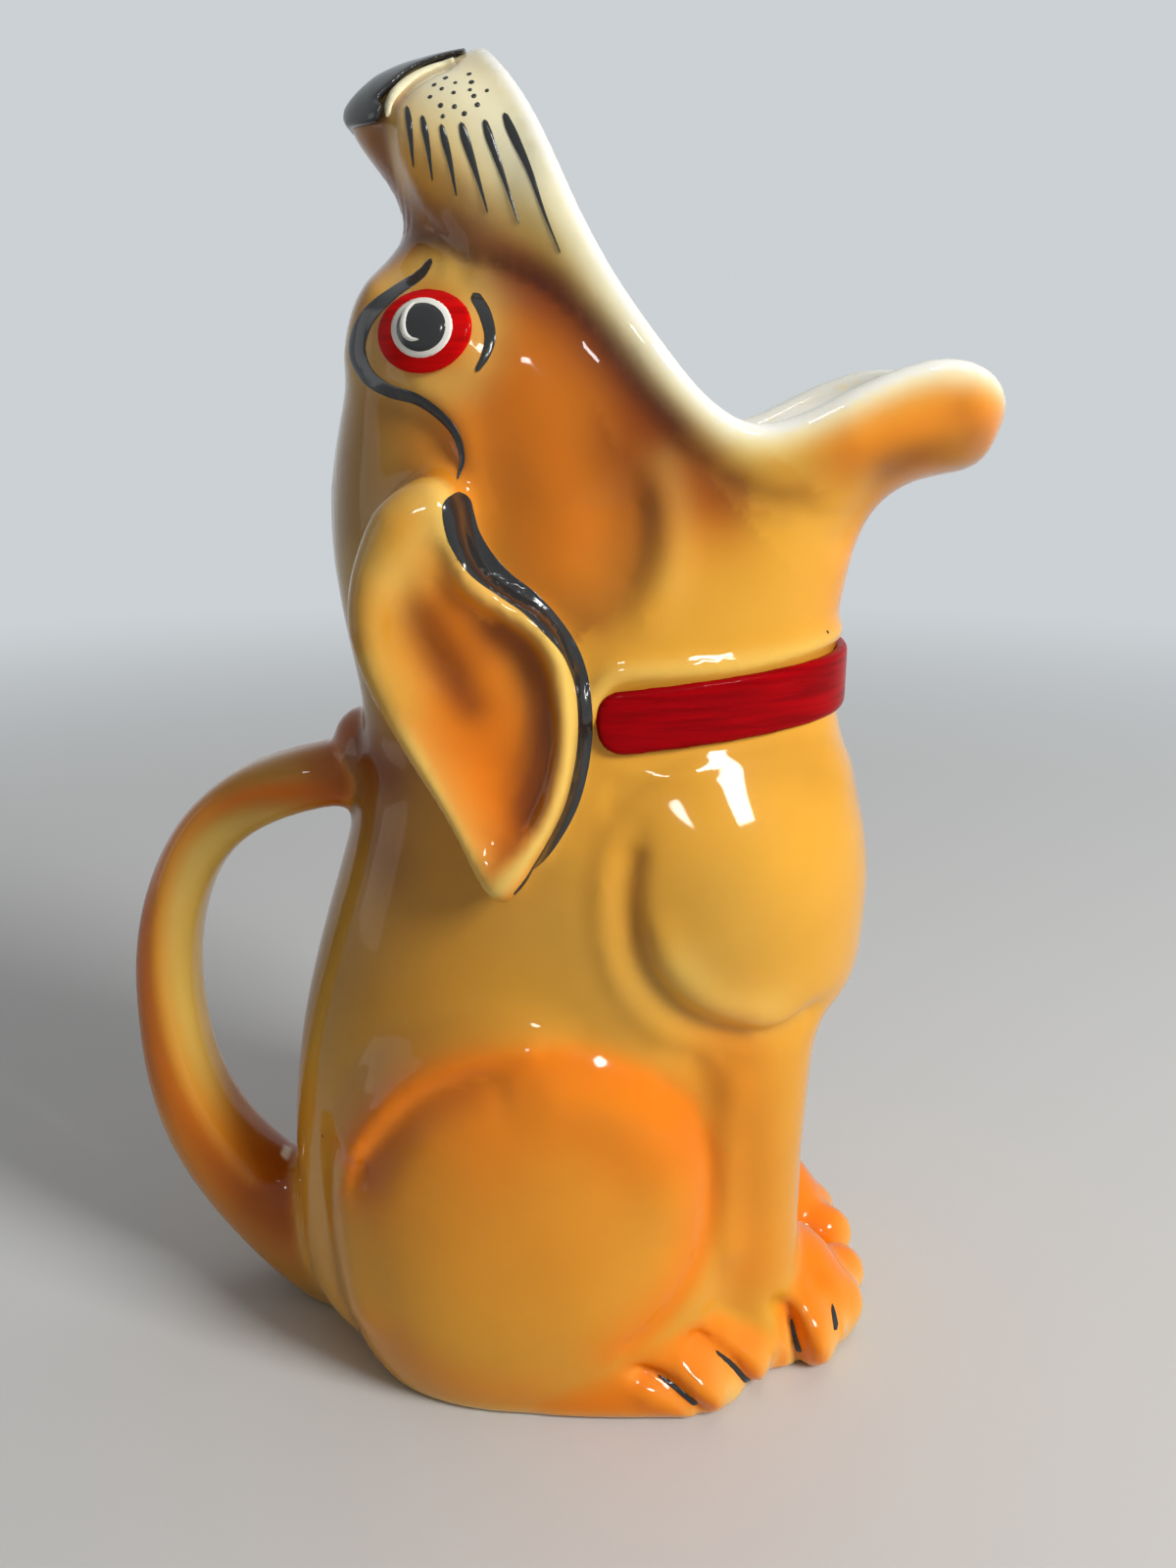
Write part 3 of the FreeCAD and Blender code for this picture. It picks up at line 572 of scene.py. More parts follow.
class Clay:
    """Signed distances to a surface, in mm, on a grid over the dog's right half."""

    def __init__(self, grain, reach, box=CAD_BOX):
        """An empty grid with that spacing and reach in mm, over a box in metres."""
        self.grain = grain
        self.reach = reach
        low = np.floor(np.array(box[0]) / MM / grain).astype(int) - 4
        high = np.ceil(np.array(box[1]) / MM / grain).astype(int) + 4
        high[1] = 0
        self.first = low
        self.x, self.y, self.z = (grain * np.arange(a, b + 1) for a, b in zip(low, high))
        self.shape = tuple(high - low + 1)
        self.whole = (self.shape[0], 2 * self.shape[1] - 1, self.shape[2])
        self.values = None

    def node(self, *names, without_height=None, both_sides=False):
        """Distances to CAD nodes taken as one body, less their faces at the given height."""
        points = []
        corners = []
        count = 0
        for name in names:
            some, triangles = merged(name)
            if without_height is not None:
                level = np.abs(some[:, 2] - without_height) < 0.02
                triangles = triangles[~level[triangles].all(axis=1)]
            points.append(some)
            corners.append(triangles + count)
            count += len(some)
        grid = vdb.FloatGrid.createLevelSetFromPolygons(
            np.vstack(points), triangles=np.vstack(corners).astype(np.uint32),
            transform=vdb.createLinearTransform(voxelSize=self.grain), halfWidth=self.reach / self.grain)
        whole = np.full(self.whole, self.reach, np.float32)
        grid.copyToArray(whole, ijk=tuple(int(i) for i in self.first))
        right = whole[:, :self.shape[1]]
        if both_sides:
            right = np.minimum(right, whole[:, :self.shape[1] - 2:-1])
        return right

    def outermost(self):
        """The y at which each line across the dog first meets the surface, from its right."""
        solid = self.values < 0
        first = solid.argmax(axis=1)
        found = np.where(solid.any(axis=1), self.y[first], 0.0)
        for _ in range(2):
            padded = np.pad(found, 1, mode="edge")
            found = sum(padded[i:i + found.shape[0], j:j + found.shape[1]]
                        for i in range(3) for j in range(3)) / 9
        return found

    def outer_share(self, outside):
        """1 in the outer half of the wall, fading to 0 before its inner face."""
        left = MODELLED_DEPTH - self.y[None, :, None] + outside[:, None, :]
        return np.clip(left / MODELLED_FADE, 0, 1)

    def strip(self, height, left, right, line, outside=None):
        """Adds a soft strip of clay along a line seen from the side, or takes a groove away."""
        gap, along, length = line_distance(self.x[:, None], self.z[None, :], curved(line, LINE_STEP))
        fade = np.clip(np.minimum(along, length - along) / (left + right) + 0.3, 0, 1)
        amount = (height * beside(gap, left, right) * fade)[:, None, :]
        if outside is not None:
            amount = amount * self.outer_share(outside)
        self.values -= amount.astype(np.float32)

    def sample(self, values, points):
        """The values at any points, read between those of the grid."""
        places = points / self.grain - self.first
        places[:, 1] = -np.abs(points[:, 1]) / self.grain - self.first[1]
        top = np.array(self.shape) - 1.001
        places = np.clip(places, 0, top)
        cell = places.astype(int)
        share = places - cell
        total = np.zeros(len(points))
        for i in (0, 1):
            for j in (0, 1):
                for k in (0, 1):
                    weight = (np.abs(1 - i - share[:, 0]) * np.abs(1 - j - share[:, 1])
                              * np.abs(1 - k - share[:, 2]))
                    total += weight * values[cell[:, 0] + i, cell[:, 1] + j, cell[:, 2] + k]
        return total

    def slope(self, points):
        """The direction away from the surface."""
        reach = 0.6 * self.grain
        out = np.empty_like(points)
        for axis in range(3):
            step = np.zeros(3)
            step[axis] = reach
            out[:, axis] = (self.sample(self.values, points + step)
                            - self.sample(self.values, points - step)) / (2 * reach)
        return out

    def skin(self, rounds=3):
        """The surface as points and four-sided faces, evened out and laid back on the surface."""
        whole = np.concatenate((self.values, self.values[:, -2::-1]), axis=1).astype(np.float32)
        grid = vdb.FloatGrid(float(self.reach))
        grid.gridClass = vdb.GridClass.LEVEL_SET
        grid.copyFromArray(np.ascontiguousarray(whole), ijk=tuple(int(i) for i in self.first))
        grid.transform = vdb.createLinearTransform(voxelSize=self.grain)
        points, faces = grid.convertToQuads()
        points = points.astype(float)
        edges = np.vstack([faces[:, (i, (i + 1) % 4)] for i in range(4)])
        count = np.bincount(edges.ravel(), minlength=len(points))
        for _ in range(rounds):
            mean = np.stack([np.bincount(edges[:, 0], points[edges[:, 1], axis], len(points))
                             + np.bincount(edges[:, 1], points[edges[:, 0], axis], len(points))
                             for axis in range(3)], axis=1) / count[:, None]
            points = 0.5 * (points + mean)
            for _ in range(2):
                slope = self.slope(points)
                off = self.sample(self.values, points)
                points -= slope * (off / np.maximum((slope ** 2).sum(axis=1), 0.2))[:, None]
        return points, outward(points, faces)


def outward(points, faces):
    """The faces of a closed surface, turned so that they point outwards."""
    a, b, c, d = (points[faces[:, i]] for i in range(4))
    volume = (np.cross(b - a, c - a) * a).sum() + (np.cross(c - a, d - a) * a).sum()
    return faces if volume > 0 else faces[:, ::-1]


# Meshes and pieces

def add_mesh(name, points, faces):
    """A new object in the scene from points in mm."""
    mesh = bpy.data.meshes.new(name)
    mesh.from_pydata((np.asarray(points) * MM).tolist(), [], [list(map(int, face)) for face in faces])
    mesh.validate()
    mesh.shade_smooth()
    piece = bpy.data.objects.new(name, mesh)
    bpy.context.scene.collection.objects.link(piece)
    return piece


def points_of(mesh):
    """The points of a mesh in mm, and its normals."""
    points = np.empty(len(mesh.vertices) * 3, np.float32)
    mesh.vertices.foreach_get("co", points)
    normals = np.empty(len(mesh.vertices) * 3, np.float32)
    mesh.vertex_normals.foreach_get("vector", normals)
    return points.reshape(-1, 3).astype(float) / MM, normals.reshape(-1, 3).astype(float)


def set_colours(mesh, name, colours):
    """Gives each point of a mesh its colour, as an attribute of that name."""
    attribute = mesh.attributes.new(name, "FLOAT_COLOR", "POINT")
    rows = np.ones((len(mesh.vertices), 4), np.float32)
    rows[:, :3] = colours
    attribute.data.foreach_set("color", rows.ravel())


def finish_piece(piece, material, slot, *nodes):
    """Gives a piece its material and body, and hides the CAD nodes that it replaces. The slot is not used."""
    piece.data.materials.clear()
    piece.data.materials.append(material)
    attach(piece, "root")
    if nodes:
        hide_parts(*nodes)
    return piece


def evaluated_mesh(piece, name):
    """The piece's mesh with its modifiers applied, in a new object."""
    view = bpy.context.evaluated_depsgraph_get()
    mesh = bpy.data.meshes.new_from_object(piece.evaluated_get(view))
    mesh.name = name
    return mesh


def closed_outward(mesh):
    """Joins a mesh's doubled points and turns its faces outwards."""
    form = bmesh.new()
    form.from_mesh(mesh)
    bmesh.ops.remove_doubles(form, verts=form.verts, dist=1e-7)
    bmesh.ops.recalc_face_normals(form, faces=form.faces)
    form.to_mesh(mesh)
    form.free()


# Node trees

# Sides of a painted line's cross-section: many, so that a wide line follows a curved skin. It is lifted by
# this share of its thickness, so that less than half of it is under the skin.
STROKE_SIDES = 56
STROKE_LIFT = 0.35

# Skin is looked for from this far beside the middle, in metres, and as far past it.
SIGHT_START = 0.2

# A dot's size varies between these shares of its set size.
DOT_SPREAD = (0.75, 1.15)


def place(tree, kind, values=None, **settings):
    """A node of that kind, with its settings, and its inputs set or joined to other nodes' outputs."""
    node = tree.nodes.new(kind)
    for key, value in settings.items():
        setattr(node, key, value)
    for key, value in (values or {}).items():
        if isinstance(value, bpy.types.NodeSocket):
            tree.links.new(value, node.inputs[key])
        else:
            node.inputs[key].default_value = value
    return node


def maths(tree, operation, *values):
    """What a math node makes of numbers or outputs."""
    return place(tree, "ShaderNodeMath", dict(enumerate(values)), operation=operation).outputs[0]


def combined(tree, x=0.0, y=0.0, z=0.0):
    """A vector out of numbers or outputs."""
    return place(tree, "ShaderNodeCombineXYZ", {0: x, 1: y, 2: z}).outputs[0]


def scaled(tree, vector, scale):
    """A vector or a colour, times a number or an output."""
    return place(tree, "ShaderNodeVectorMath", {0: vector, "Scale": scale}, operation="SCALE").outputs[0]


def add_bump(tree, shader, strength, distance, height):
    """Makes a shader's surface look uneven by that height."""
    bump = place(tree, "ShaderNodeBump", {"Strength": strength, "Distance": distance, "Height": height})
    tree.links.new(bump.outputs[0], shader.inputs["Normal"])


def new_tree(name, kind, inputs, outputs):
    """A node group with its named sockets, and its input and output nodes."""
    tree = bpy.data.node_groups.new(name, kind)
    for title, socket, default in inputs:
        made = tree.interface.new_socket(title, in_out="INPUT", socket_type=socket)
        if default is not None:
            made.default_value = default
    for title, socket in outputs:
        tree.interface.new_socket(title, in_out="OUTPUT", socket_type=socket)
    return tree, place(tree, "NodeGroupInput"), place(tree, "NodeGroupOutput")


def finish_tree(tree, start, end, geometry):
    """Ends a tree that makes a piece: its instances are made real and take the material."""
    real = place(tree, "GeometryNodeRealizeInstances", {"Geometry": geometry})
    painted = place(tree, "GeometryNodeSetMaterial",
                    {"Geometry": real.outputs[0], "Material": start.outputs["Material"]})
    tree.links.new(painted.outputs[0], end.inputs[0])
    return tree


def set_input(modifier, title, value):
    """Sets a modifier's input by the identifier of the socket with that title."""
    for item in modifier.node_group.interface.items_tree:
        if item.item_type == "SOCKET" and item.in_out == "INPUT" and item.name == title:
            modifier[item.identifier] = value
            return
    raise ValueError("the tree has no input " + title)


def enamel_line_tree():
    """Lays curves on the skin as thin raised lines, as wide as the curves' radius says seen from the side."""
    tree, start, end = new_tree("enamel_line", "GeometryNodeTree", (
        ("Geometry", "NodeSocketGeometry", None), ("Skin", "NodeSocketObject", None),
        ("Thickness", "NodeSocketFloat", 0.0002), ("Step", "NodeSocketFloat", 0.0004),
        ("Material", "NodeSocketMaterial", None)), (("Geometry", "NodeSocketGeometry"),))
    skin = place(tree, "GeometryNodeObjectInfo", {"Object": start.outputs["Skin"]}).outputs["Geometry"]
    where = place(tree, "GeometryNodeInputPosition").outputs[0]
    facing = place(tree, "GeometryNodeInputNormal").outputs[0]

    x, y, z = place(tree, "ShaderNodeSeparateXYZ", {0: where}).outputs
    side = maths(tree, "SIGN", y)
    eye = combined(tree, x, maths(tree, "MULTIPLY", side, SIGHT_START), z)
    sight = combined(tree, y=maths(tree, "MULTIPLY", side, -1.0))

    def on_skin(value):
        """The value where the skin is met from the side, or where it is nearest past its contour."""
        met = place(tree, "GeometryNodeRaycast", {
            "Target Geometry": skin, "Attribute": value, "Source Position": eye,
            "Ray Direction": sight, "Ray Length": 2 * SIGHT_START}, data_type="FLOAT_VECTOR")
        near = place(tree, "GeometryNodeSampleNearestSurface", {"Mesh": skin, "Value": value},
                     data_type="FLOAT_VECTOR")
        return place(tree, "GeometryNodeSwitch", {"Switch": met.outputs["Is Hit"], "False": near.outputs[0],
                                                  "True": met.outputs["Attribute"]},
                     input_type="VECTOR").outputs[0]

    even = place(tree, "GeometryNodeResampleCurve",
                 {"Curve": start.outputs["Geometry"], "Length": start.outputs["Step"]}, mode="LENGTH")
    turned = place(tree, "GeometryNodeSetCurveNormal",
                   {"Curve": even.outputs[0], "Normal": combined(tree, y=side)}, mode="FREE")
    ring = place(tree, "GeometryNodeCurvePrimitiveCircle", {"Resolution": STROKE_SIDES, "Radius": 1.0})
    keep = place(tree, "GeometryNodeCaptureAttribute", {"Geometry": ring.outputs[0]})
    keep.capture_items.new("FLOAT", "Height")
    tree.links.new(x, keep.inputs[1])
    flat = place(tree, "GeometryNodeSetPosition",
                 {"Geometry": keep.outputs[0], "Position": combined(tree, y=y)})
    radius = place(tree, "GeometryNodeInputRadius").outputs[0]
    tube = place(tree, "GeometryNodeCurveToMesh", {
        "Curve": turned.outputs[0], "Profile Curve": flat.outputs[0], "Scale": radius, "Fill Caps": True})
    height = maths(tree, "ADD", keep.outputs[1], STROKE_LIFT)
    rise = maths(tree, "MULTIPLY", height, start.outputs["Thickness"])
    final = place(tree, "ShaderNodeVectorMath",
                  {0: on_skin(where), 1: scaled(tree, on_skin(facing), rise)}, operation="ADD")
    wrapped = place(tree, "GeometryNodeSetPosition",
                    {"Geometry": tube.outputs[0], "Position": final.outputs[0]})
    return finish_tree(tree, start, end, wrapped.outputs[0])


def enamel_dot_tree():
    """Lays a low round drop of enamel on the skin at each point."""
    tree, start, end = new_tree("enamel_dots", "GeometryNodeTree", (
        ("Geometry", "NodeSocketGeometry", None), ("Skin", "NodeSocketObject", None),
        ("Size", "NodeSocketFloat", 0.0009), ("Thickness", "NodeSocketFloat", 0.0002),
        ("Material", "NodeSocketMaterial", None)), (("Geometry", "NodeSocketGeometry"),))
    skin = place(tree, "GeometryNodeObjectInfo", {"Object": start.outputs["Skin"]}).outputs["Geometry"]
    where = place(tree, "GeometryNodeInputPosition").outputs[0]
    facing = place(tree, "GeometryNodeInputNormal").outputs[0]

    def on_skin(value):
        """The value where the skin is nearest."""
        return place(tree, "GeometryNodeSampleNearestSurface", {"Mesh": skin, "Value": value},
                     data_type="FLOAT_VECTOR").outputs[0]

    laid = place(tree, "GeometryNodeSetPosition",
                 {"Geometry": start.outputs["Geometry"], "Position": on_skin(where)})
    drop = place(tree, "GeometryNodeMeshUVSphere", {"Segments": 12, "Rings": 6, "Radius": 0.5})
    upright = place(tree, "FunctionNodeAlignRotationToVector", {"Vector": on_skin(facing)}, axis="Z")
    spread = place(tree, "FunctionNodeRandomValue", {2: DOT_SPREAD[0], 3: DOT_SPREAD[1], "Seed": 4},
                   data_type="FLOAT")
    wide = maths(tree, "MULTIPLY", spread.outputs[1], start.outputs["Size"])
    thick = maths(tree, "MULTIPLY", start.outputs["Thickness"], 2.0)
    dots = place(tree, "GeometryNodeInstanceOnPoints", {
        "Points": laid.outputs[0], "Instance": drop.outputs[0], "Rotation": upright.outputs[0],
        "Scale": combined(tree, wide, wide, thick)})
    return finish_tree(tree, start, end, dots.outputs[0])


def grown(name, source, tree, inputs):
    """A new piece: what the tree makes of the source object, as a plain closed mesh."""
    holder = bpy.data.objects.new(name + "_source", source)
    bpy.context.scene.collection.objects.link(holder)
    modifier = holder.modifiers.new("tree", "NODES")
    modifier.node_group = tree
    for title, value in inputs.items():
        set_input(modifier, title, value)
    mesh = evaluated_mesh(holder, name)
    bpy.data.objects.remove(holder)
    if not len(mesh.polygons):
        raise RuntimeError(name + " came out empty")
    closed_outward(mesh)
    mesh.shade_smooth()
    piece = bpy.data.objects.new(name, mesh)
    bpy.context.scene.collection.objects.link(piece)
    return piece


def side_hit(skin, x, z):
    """The place on the dog's right side at that x and z, in mm, or the nearest one past the contour."""
    hit, spot, _, _ = skin.ray_cast(Vector((x * MM, -0.2, z * MM)), Vector((0, 1, 0)))
    if not hit:
        _, spot, _, _ = skin.closest_point_on_mesh(Vector((x * MM, -0.015, z * MM)))
    return np.array(spot) / MM


def rounded_ends(path):
    """Points of x, z and half width, with the half width shrinking at both ends as on a brush stroke."""
    along = np.concatenate(([0], np.cumsum(np.hypot(*np.diff(path[:, :2], axis=0).T))))
    for far in (along, along[-1] - along):
        share = np.clip(far / path[:, 2], 0.02, 1)
        path[:, 2] *= np.sqrt(1 - (1 - share) ** 2)
    return path


def drawn_lines(name, lines):
    """Curves beside both flanks, along lines of x, z and half width."""
    curve = bpy.data.curves.new(name, "CURVE")
    curve.dimensions = "3D"
    for line in lines:
        path = rounded_ends(curved(line, STROKE_STEP))
        for side in (1, -1):
            spline = curve.splines.new("POLY")
            spline.points.add(len(path) - 1)
            rows = np.ones((len(path), 4))
            rows[:, :3] = path[:, (0, 0, 1)] * MM
            rows[:, 1] = side * 12.0 * MM
            spline.points.foreach_set("co", rows.ravel())
            spline.points.foreach_set("radius", path[:, 2] * MM)
    return curve


def laid_lines(name, skin, lines, thickness, material):
    """A new piece: the lines laid on both sides of the skin."""
    return grown(name, drawn_lines(name, lines), shared("enamel_line", enamel_line_tree), {
        "Skin": skin, "Thickness": thickness, "Material": material})


# Materials

# The share of the glaze's cells that have a dark speck, and its colour.
SPECK_SHARE = 0.12
SPECK_COLOUR = (0.05, 0.03, 0.02, 1)


def glaze_waves_group():
    """The faint waviness of fired glaze, and its few dark specks."""
    tree, start, end = new_tree("glaze_waves", "ShaderNodeTree", (
        ("Wave Scale", "NodeSocketFloat", 70.0), ("Speck Scale", "NodeSocketFloat", 90.0),
        ("Speck Size", "NodeSocketFloat", 0.035)),
        (("Height", "NodeSocketFloat"), ("Specks", "NodeSocketFloat"), ("Cloud", "NodeSocketFloat")))
    spot = place(tree, "ShaderNodeTexCoord").outputs["Object"]
    wave = place(tree, "ShaderNodeTexNoise",
                 {"Vector": spot, "Scale": start.outputs["Wave Scale"], "Detail": 1.0})
    tree.links.new(wave.outputs[0], end.inputs["Height"])
    cell = place(tree, "ShaderNodeTexVoronoi", {"Vector": spot, "Scale": start.outputs["Speck Scale"]})
    near = maths(tree, "LESS_THAN", cell.outputs["Distance"], start.outputs["Speck Size"])
    parts = place(tree, "ShaderNodeSeparateColor", {0: cell.outputs["Color"]})
    few = maths(tree, "LESS_THAN", parts.outputs[0], SPECK_SHARE)
    tree.links.new(maths(tree, "MULTIPLY", near, few), end.inputs["Specks"])
    cloud = place(tree, "ShaderNodeTexNoise", {"Vector": spot, "Scale": 28.0, "Detail": 3.0})
    tree.links.new(cloud.outputs[0], end.inputs["Cloud"])
    return tree


def shared(name, maker):
    """The node group of that name, made once."""
    return bpy.data.node_groups.get(name) or maker()


def new_material(name, **sockets):
    """A material with those values on its shader's sockets, its tree and its shader."""
    material = bpy.data.materials.new(name)
    material.use_nodes = True
    tree = material.node_tree
    shader = tree.nodes["Principled BSDF"]
    for title, value in sockets.items():
        shader.inputs[title.replace("_", " ")].default_value = value
    return material, tree, shader


def glaze_material():
    """Clear glossy glaze over sprayed colour."""
    material, tree, shader = new_material(
        "sprayed_glaze", Roughness=0.3, Coat_Weight=1.0, Coat_Roughness=0.06, Coat_IOR=1.3,
        Specular_IOR_Level=0.02)
    effect = place(tree, "ShaderNodeGroup", node_tree=shared("glaze_waves", glaze_waves_group))
    paint = place(tree, "ShaderNodeAttribute", attribute_name="glaze")
    cloud = place(tree, "ShaderNodeMapRange", {
        "Value": effect.outputs["Cloud"], "From Min": 0.3, "From Max": 0.7, "To Min": 0.93, "To Max": 1.06})
    toned = scaled(tree, paint.outputs["Color"], cloud.outputs[0])
    specked = place(tree, "ShaderNodeMix", {"Factor": effect.outputs["Specks"], 6: toned, 7: SPECK_COLOUR},
                    data_type="RGBA")
    tree.links.new(specked.outputs[2], shader.inputs["Base Color"])
    add_bump(tree, shader, 0.25, 0.0006, effect.outputs["Height"])
    return material


def enamel_material(name, tone, streak):
    """Glossy enamel, with brush streaks that run round the dog, darker by that share."""
    material, tree, shader = new_material(name, Roughness=0.35, Coat_Weight=0.3, Coat_Roughness=0.08,
                                          Coat_IOR=1.2, Specular_IOR_Level=0.02)
    spot = place(tree, "ShaderNodeTexCoord").outputs["Object"]
    stretch = place(tree, "ShaderNodeMapping", {"Vector": spot, "Scale": (60.0, 60.0, 900.0)})
    hairs = place(tree, "ShaderNodeTexNoise", {"Vector": stretch.outputs[0], "Scale": 1.0, "Detail": 2.0})
    tones = place(tree, "ShaderNodeMapRange", {
        "Value": hairs.outputs[0], "From Min": 0.35, "From Max": 0.65,
        "To Min": 1 - streak, "To Max": 1 + 0.15 * streak})
    tree.links.new(scaled(tree, tuple(tone), tones.outputs[0]), shader.inputs["Base Color"])
    add_bump(tree, shader, 0.2, 0.0002, hairs.outputs[0])
    return material


def enamel(name, streak):
    """The enamel in one of the colours, made once."""
    title = name + "_enamel"
    return bpy.data.materials.get(title) or enamel_material(title, colour(name), streak)


def black_enamel():
    """The enamel of the nose, the irises and all dark lines and dots."""
    return enamel("black", 0.1)


# The casting

def cast_clay(grain):
    """The whole casting on the grid: the hollow body and its members, joined and modelled."""
    clay = Clay(grain, CAST_REACH)
    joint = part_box("torso")[1].z / MM
    clay.values = clay.node("torso", "head", without_height=joint).copy()
    body = clay.outermost()
    near = {}
    # How much the fillets fill the creases between the members, where the glaze is darkened as painted shade
    crease_shade = np.zeros_like(clay.values)
    for node, width, times, both_sides in MEMBERS:
        member = evened(clay.node(node, both_sides=both_sides), times) - EVENING_LOSS * times ** 0.5
        near[node] = member
        if node == "right_ear":
            rise = np.clip((clay.z - EAR_ROOT_HEIGHT) / EAR_ROOT_RISE, 0, 1)
            width = width + EAR_ROOT_FILLET * rise[None, None, :]
        joined = soft_min(clay.values, member, width)
        crease_shade += np.minimum(clay.values, member) - joined
        clay.values = joined
    middle, half, width = KNOB_ROOT
    across = np.sqrt(sum(((axis - at) / size) ** 2 for axis, at, size in zip(
        (clay.x[:, None, None], clay.y[None, :, None], clay.z[None, None, :]), middle, half)))
    clay.values = soft_min(clay.values, ((across - 1) * min(half)).astype(np.float32), width)
    clay.strip(*RIM_ROLL, RIM_LINE)
    outside = clay.outermost()
    for times, reach, on_flank, line in EVENED:
        gap, _, _ = line_distance(clay.x[:, None], clay.z[None, :], curved(line, LINE_STEP))
        share = np.exp(-(gap / reach) ** 2)[:, None, :]
        if on_flank:
            share = share * clay.outer_share(outside)
        clay.values += (share * (evened(clay.values, times) - clay.values)).astype(np.float32)
    plain = clay.values.copy()
    for height, left, right, line in STRIPS:
        clay.strip(height, left, right, line, outside)
    ear = evened((near["right_ear"] < 0).any(axis=1).astype(np.float32)[:, None, :], 3)[:, 0]
    deepest = (DEEPEST_GROOVE + (DEEPEST_IN_EAR - DEEPEST_GROOVE) * np.clip(2 * ear - 1, 0, 1))[:, None, :]
    limit = plain + GROOVE_SLACK + (deepest - GROOVE_SLACK) * clay.outer_share(outside)
    clay.values = soft_min(clay.values, limit, GROOVE_SLACK)
    table = np.broadcast_to(-clay.z[None, None, :], clay.values.shape)
    clay.values = soft_max(clay.values, table, FOOT_EDGE).astype(np.float32)
    return clay, near, crease_shade, body


def hollow_share(clay, points, normals, outside):
    """1 for points that face the hollow, 0 for those that face the room."""

    def flank_beyond(spots):
        """How far the outside of the body lies beyond each spot, across the dog."""
        i, k = (np.clip(np.round(spots[:, axis] / clay.grain).astype(int) - clay.first[axis], 0,
                        clay.shape[axis] - 1) for axis in (0, 2))
        return -outside[i, k] - np.abs(spots[:, 1])

    across = (flank_beyond(points + HOLLOW_PROBE * normals) > HOLLOW_MARGIN).astype(float)
    deep = np.clip(flank_beyond(points) - 0.8, 0, 1)
    inwards = np.clip(-normals[:, 1] * np.sign(points[:, 1]) * 4 - 0.8, 0, 1)
    lip_x, lip_z = LIP_CHANNEL
    channel = np.clip((points[:, 0] - lip_x) / 6, 0, 1) * np.clip((points[:, 2] - lip_z) / 4, 0, 1)
    channel *= np.clip(1.5 * (normals[:, 2] - normals[:, 0]) - 0.3, 0, 1)
    return np.maximum(across, deep * np.maximum(inwards, channel))


def sprayed_with_painted_light(clay, near, crease_shade, points, normals, hollow):
    """The colour of the glaze at each point, with painted shade and painted highlights laid into it."""
    tones = np.tile(colour("ochre"), (len(points), 1))

    def lay_colour(name, amount):
        """Lays a colour over the others, as thick as the amount says."""
        share = np.clip(amount, 0, 1)[:, None]
        tones[:] = tones * (1 - share) + colour(name) * share

    def on(node, depth):
        """1 on a member, fading to 0 away from it."""
        return np.clip(1.2 - clay.sample(near[node], points) / depth, 0, 1)

    x, z = points[:, 0], points[:, 2]
    for member, name, strength, left, right, line in SPRAYS_AND_PAINTED_LIGHT:
        gap, _, _ = line_distance(x, z, curved(line, LINE_STEP))
        amount = strength * beside(gap, left, right)
        lay_colour(name, amount * on(member, 1.2) if member else amount)

    # The handle: olive, with an orange band along its outer side that gets narrower towards the top
    handle = on("tail_handle", 1.5)
    gap, _, _ = line_distance(x, z, curved(HANDLE_BAND, LINE_STEP))
    lay_colour("ochre", handle)
    lay_colour("olive", 0.6 * handle)
    lay_colour("straw", 0.6 * handle * np.clip(-0.4 - gap / 4, 0, 1))
    outer = 3.0 + 6.0 * np.clip((114 - z) / 14, 0, 1)
    lay_colour("orange", handle * beside(gap, outer, 3.0))
    lay_colour("brown", 0.35 * handle * beside(gap - 4.0, 3.0, 3.0) * (z < 110))
    # Sprayed orange, then painted shade where the handle meets the body
    for root_x, root_z, reach in HANDLE_ROOTS:
        near_root = np.exp(-((x - root_x) ** 2 + (z - root_z) ** 2) / reach ** 2)
        lay_colour("orange", 0.9 * handle * near_root)
        lay_colour("brown", 0.75 * handle * near_root)

    # The knob, the paws with their pale toes, painted shade in the creases where the members meet, and the
    # pale foot
    knob = on("thumb_knob", 2.0)
    lay_colour("orange", 0.7 * knob)
    lay_colour("brown", 0.5 * knob)
    for paw in ("right_front_paw", "right_hind_paw"):
        lay_colour("orange", 0.95 * on(paw, 3.0))
        toes = np.clip(normals[:, 0] * 1.3 - 0.2, 0, 1) * np.clip(1.3 - z / 12, 0, 1)
        lay_colour("straw", 0.75 * on(paw, 3.0) * toes)
    lay_colour("brown", 0.1 * np.clip(clay.sample(crease_shade, points), 0, 1))
    lay_colour("straw", 0.5 * np.clip(1 - z / 3.5, 0, 1))

    # The rim of the mouth, pale except at the end of the lip, and the white of the hollow and under the foot
    gap, _, _ = line_distance(x, z, curved(RIM_LINE, LINE_STEP))
    tip = np.clip((77 - x) / 14, 0, 1)
    lay_colour("cream", 0.9 * np.exp(-(gap / (0.8 + 2.4 * tip)) ** 2))
    lay_colour("white", np.clip(1.5 - np.abs(gap) / (0.2 + 0.9 * tip), 0, 1) * np.clip(2 * tip, 0, 1))
    lay_colour("white", hollow)
    lay_colour("white", np.clip(1 - z / 0.3, 0, 1))
    return tones


